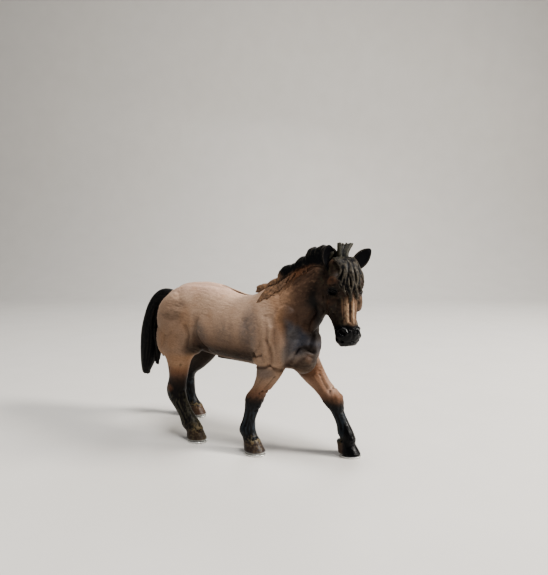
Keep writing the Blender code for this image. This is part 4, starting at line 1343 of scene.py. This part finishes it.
def make_forelock(hair, chance):
    strands = []
    for root, tip, length, wiggle in FORELOCK_CLUMPS:
        phase = chance.uniform(0, 6.28)
        for strand in range(4):
            path, radii = [], []
            own = (strand - 1.5) * 0.75
            reach = length - chance.uniform(0, 2.2)
            for step in range(9):
                share = step / 8
                u = -2.5 + share * (reach + 2.5)
                face = np.interp(u, [row[0] for row in HEAD], [row[1] for row in HEAD])
                across = root + (tip - root) * share**1.3 + own * (1.1 - 0.9 * share)
                across += wiggle * 0.8 * math.sin(phase + share * 8.0) * (0.3 + share)
                lift = 1.0 - 0.7 * share + 0.45 * math.cos(phase + share * 6.0 + own) - 0.05 * across * across
                path.append(on_head(u, face + lift, across))
                radii.append(0.62 - 0.42 * share**1.8)
            strands.append((path, radii))
    for _ in range(TUFT_STRANDS):
        spread = chance.uniform(-1.0, 1.0)
        deep = chance.uniform(-0.9, 0.9)
        tip = chance.uniform(-0.9, 0.5)
        path = [
            on_head(1.5, -1.5 + deep, 2.6 * spread),
            on_head(-1.5, -3.4 + deep, 0.2 + 2.5 * spread),
            on_head(-4.5, -4.4 + deep, 0.6 + 2.7 * spread),
            on_head(-7.3, -4.9 + 0.8 * deep, 1.9 + 3.6 * spread),
            on_head(-9.4 + tip + 0.7 * spread, -5.2 + 0.6 * deep, 3.0 + 4.7 * spread + 0.4 * deep),
        ]
        strands.append((path, (0.8, 0.8, 0.72, 0.6, 0.4)))
    mesh = bundle("forelock", strands, voxel=0.26)
    paint(mesh, hair_paint)
    mesh.materials.append(hair)
    placed("forelock_strands", mesh, "forelock")


# Loose locks low on the tail: start and end as x z, and side.
TAIL_LOCKS = (
    ((-66, 60), (-64, 39), 0.5),
    ((-68, 56), (-67, 36), -1.5),
    ((-70, 52), (-70, 33), 1.0),
    ((-78, 50), (-80, 30), 0.0),
    ((-76, 44), (-79, 26), 1.5),
)
TAIL_STRANDS = 44
TAIL_INSET = 0.55


def make_tail(hair, chance):
    rows = spline(TAIL, 6)
    centres = [Vector(row[:3]) for row in rows]
    frames = []
    for index, centre in enumerate(centres):
        ahead = centres[min(index + 1, len(rows) - 1)] - centres[max(index - 1, 0)]
        frames.append(ahead.cross(SIDE_AXIS).normalized())
    core = []
    for row, centre, deep in zip(rows, centres, frames):
        width, depth = max(row[3] - 0.9, 0.5), max(row[4] - 0.9, 0.5)
        core.append(section(centre + deep * depth, centre - deep * depth, SIDE_AXIS, width))
    strands = []
    for index in range(TAIL_STRANDS):
        turn = 2 * math.pi * index / TAIL_STRANDS
        twist = chance.uniform(-0.25, 0.75)
        wave = chance.uniform(0, 6.28)
        end = len(rows) - 1 - int(chance.uniform(0, 9) if index % 3 else 0)
        path, radii = [], []
        for step in range(4, end + 1, 4):
            share = step / (len(rows) - 1)
            angle = turn + twist * share + 0.10 * math.sin(wave + share * 14)
            width, depth = (max(half - TAIL_INSET, 0.2) for half in rows[step][3:5])
            outward = SIDE_AXIS * width * math.cos(angle) + frames[step] * depth * math.sin(angle)
            path.append(centres[step] + outward)
            radii.append(0.62 if share < 0.8 else 0.62 - 1.6 * (share - 0.8))
        radii[-1] = 0.22
        strands.append((path, radii))
    for start, end, side in TAIL_LOCKS:
        for strand in range(5):
            own = Vector((chance.uniform(-0.5, 0.5), side + (strand - 2) * 0.9, chance.uniform(-0.5, 0.5)))
            root, tip = Vector((start[0], 1.0, start[1])), Vector((end[0], 1.0, end[1]))
            path = []
            for share in (0.0, 0.25, 0.5, 0.75, 0.9, 1.0 + 0.06 * own.x):
                wave = Vector((0.7 * math.sin(share * 6.0 + side), 0, 0)) * share
                path.append(root.lerp(tip, share) + own * (1.1 - 0.6 * share) + wave)
            strands.append((path, (0.6, 0.9, 0.95, 0.8, 0.5, 0.25)))
    mesh = bundle("tail", strands, [loft("tail_core", core)], voxel=0.34)
    paint(mesh, hair_paint)
    mesh.materials.append(hair)
    placed("tail_hair", mesh, "tail")


# ---------------------------------------------------------------- ears, shoes

EAR_BASE = (1.5, -5.0, 6.0)
EAR_LEAN = {-1: 0.04, 1: 1.25}
EAR_LENGTH = {-1: 0.93, 1: 1.20}
EAR_WIDTH = {-1: 1.12, 1: 1.0}
# Height, half width, depth of the cup.
EAR = (
    (-1.6, 2.0, 1.8),
    (0.0, 2.5, 2.0),
    (2.0, 3.2, 2.2),
    (4.0, 3.6, 2.1),
    (6.0, 3.55, 1.8),
    (8.0, 3.0, 1.4),
    (9.6, 2.1, 0.9),
    (10.8, 1.1, 0.5),
    (11.3, 0.4, 0.3),
)


def make_ear(name, side, hair):
    """A cupped leaf: the outside is a half shell, the inside follows it a little way in."""
    base = on_head(EAR_BASE[0], EAR_BASE[1], side * EAR_BASE[2])
    up = (LEFT * EAR_LEAN[side] - DOWN).normalized()
    across = (LEFT - up * LEFT.dot(up)).normalized()
    opening = across.cross(up)
    if opening.dot(FORWARD) < 0:
        opening = -opening
    rings = []
    for height, half_width, depth in spline(EAR, 4):
        half_width *= EAR_WIDTH[side]
        fold = 0.55 * step_up(np.array([-height]), -2.5, 0.5)[0]
        wall = min(0.75, 0.6 * half_width)
        centre = base + up * height * EAR_LENGTH[side] - opening * 0.05 * height
        ring = []
        for index in range(17):
            angle = math.radians(-100 + 200 * index / 16)
            ring.append(centre + across * math.sin(angle) * half_width - opening * math.cos(angle) * depth)
        for index in range(17):
            angle = math.radians(96 - 192 * index / 16)
            inner = max(half_width - wall, 0.05)
            hollow = max(depth - wall, 0.05) * (1 - fold)
            ring.append(centre + across * math.sin(angle) * inner - opening * math.cos(angle) * hollow)
        rings.append(ring)
    obj = loft(name, rings)
    soften = obj.modifiers.new("soften", "SUBSURF")
    soften.levels = soften.render_levels = 1
    mesh = baked(obj)
    paint(mesh, ear_paint)
    mesh.materials.append(hair)
    placed(name + "_cup", mesh, name)


SHOE_WEB = 2.1
SHOE_OPENING = math.radians(42)
SHOE_EDGE = 0.22


def make_shoe(name, centre_x, centre_y, toe, material):
    """A flat shoe, open at the heel, with rounded edges."""
    turn = Matrix.Rotation(math.radians(toe), 3, "Z")
    points = 28
    outline = []
    for inset in (0.0, SHOE_WEB):
        half_length, half_width = HOOF_LENGTH / 2 - inset, HOOF_WIDTH / 2 - inset
        arm = []
        for index in range(points + 1):
            angle = -math.pi + SHOE_OPENING + (2 * math.pi - 2 * SHOE_OPENING) * index / points
            reach = Vector((half_length * math.cos(angle), half_width * math.sin(angle), 0))
            arm.append(Vector((centre_x, centre_y, 0)) + turn @ reach)
        outline += arm if inset == 0.0 else reversed(arm)
    obj = prism(name, [(p.x, p.y) for p in outline], GROUND_Z, GROUND_Z + SHOE_THICKNESS)
    edge = obj.modifiers.new("edge", "BEVEL")
    edge.width = SHOE_EDGE
    edge.segments = 3
    edge.limit_method = "ANGLE"
    mesh = baked(obj)
    mesh.materials.append(material)
    placed(name + "_rim", mesh, name)


# ---------------------------------------------------------------- everything together


def build_horse():
    chance = np.random.default_rng(7)
    coat = paint_material("painted_coat", 0.45, 0.22, 0.15, 0.2, stretch=(0.55, 0.8, 1.25))
    hair = paint_material("painted_hair", 0.35, 0.10, 0.30, 0.12)
    ear = paint_material("painted_ear", 0.35, 0.08, 0.20, 0.04)
    silver = plain_material("silver_paint_worn", (0.80, 0.80, 0.78), 0.30, metallic=0.9, bump_height=0.04)
    soft = plain_material("soft_dark_vinyl", (0.045, 0.036, 0.032), 0.6, bump_height=0.03)
    on_skin = make_skin(coat)
    make_mane(hair, chance, on_skin)
    make_forelock(hair, chance)
    make_tail(hair, chance)
    make_ear("right_ear", -1, ear)
    make_ear("left_ear", 1, ear)
    shoes = {"right_foreleg": "right_fore", "left_foreleg": "left_fore"}
    shoes.update({"right_hind_leg": "right_hind", "left_hind_leg": "left_hind"})
    for leg, name in shoes.items():
        make_shoe(name + "_shoe", *HOOVES[leg], silver)
    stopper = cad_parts["belly_stopper"]
    stopper.data.materials.clear()
    stopper.data.materials.append(soft)


def build_studio():
    floor_material = plain_material("floor", FLOOR_LIGHT, 0.75, bump_size=40.0, darkest=FLOOR_DARK)
    shape = bmesh.new()
    depth, width, bend, rise = 0.75, 2.6, 0.35, 1.6
    profile = [(-1.6, 0.0), (depth, 0.0)]
    for index in range(1, 13):
        angle = math.pi / 2 * index / 12
        profile.append((depth + bend * math.sin(angle), bend * (1 - math.cos(angle))))
    profile.append((depth + bend, rise))
    turn = Matrix.Rotation(math.atan2(AWAY.y, AWAY.x) - math.pi / 2, 3, "Z")
    columns = []
    for side in (-1, 1):
        columns.append([shape.verts.new(turn @ Vector((side * width, along, up))) for along, up in profile])
    left, right = columns
    for index in range(len(profile) - 1):
        shape.faces.new((left[index], right[index], right[index + 1], left[index + 1]))
    floor = object_from("floor", shape)
    floor.data.materials.append(floor_material)
    for polygon in floor.data.polygons:
        polygon.use_smooth = True
    for name, place, size, power, tone in LIGHTS:
        light = bpy.data.lights.new(name, "AREA")
        light.shape = "DISK"
        light.size = size
        light.energy = power
        light.color = tone
        obj = bpy.data.objects.new(name, light)
        bpy.context.scene.collection.objects.link(obj)
        offset = SIDEWAYS * place[0] - AWAY * place[1] + Vector((0, 0, place[2]))
        obj.location = offset
        obj.rotation_euler = (Vector((0, 0, 0.05)) - offset).to_track_quat("-Z", "Y").to_euler()
    world = bpy.data.worlds.new("studio")
    world.use_nodes = True
    background = world.node_tree.nodes["Background"]
    background.inputs["Color"].default_value = SKY
    background.inputs["Strength"].default_value = SKY_STRENGTH
    bpy.context.scene.world = world


# The camera, in the sculpting frame: its place, the way it looks over the ground, its tilt and its lens.
CAMERA_PLACE = Vector((171.5, -217.5, 103.0))
CAMERA_TURN = math.radians(35.236)
CAMERA_TILT = math.radians(4.155)
CAMERA_LENS = 33.18
AWAY = Vector((-math.sin(CAMERA_TURN), math.cos(CAMERA_TURN), 0))
SIDEWAYS = Vector((math.cos(CAMERA_TURN), math.sin(CAMERA_TURN), 0))

SKY = (0.80, 0.82, 0.86, 1)
SKY_STRENGTH = 0.14
FLOOR_LIGHT = (0.62, 0.60, 0.57)
FLOOR_DARK = (0.60, 0.58, 0.55)

# Lights: name, place (right, near, up) in metres from the horse, size, power, colour.
LIGHTS = (
    ("key", (0.90, 0.20, 0.62), 0.30, 17.0, (1.0, 0.96, 0.90)),
    ("top", (0.1, 0.15, 1.1), 0.45, 11.0, (1.0, 0.98, 0.95)),
    ("fill", (-0.9, 0.8, 0.5), 0.9, 1.0, (0.86, 0.93, 1.0)),
    ("rim", (0.1, -0.9, 0.7), 0.4, 2.5, (0.95, 0.97, 1.0)),
)


def build_camera():
    camera = bpy.data.cameras.new("camera")
    camera.sensor_width = 36.0
    camera.lens = CAMERA_LENS
    camera.clip_start = 0.01
    obj = bpy.data.objects.new("camera", camera)
    bpy.context.scene.collection.objects.link(obj)
    look = AWAY * math.cos(CAMERA_TILT) - Vector((0, 0, math.sin(CAMERA_TILT)))
    obj.location = (CAMERA_PLACE + SHIFT) * MM
    obj.rotation_euler = look.to_track_quat("-Z", "Y").to_euler()
    bpy.context.scene.camera = obj


build_horse()
build_studio()
build_camera()
bpy.context.scene.view_settings.look = "AgX - Medium High Contrast"
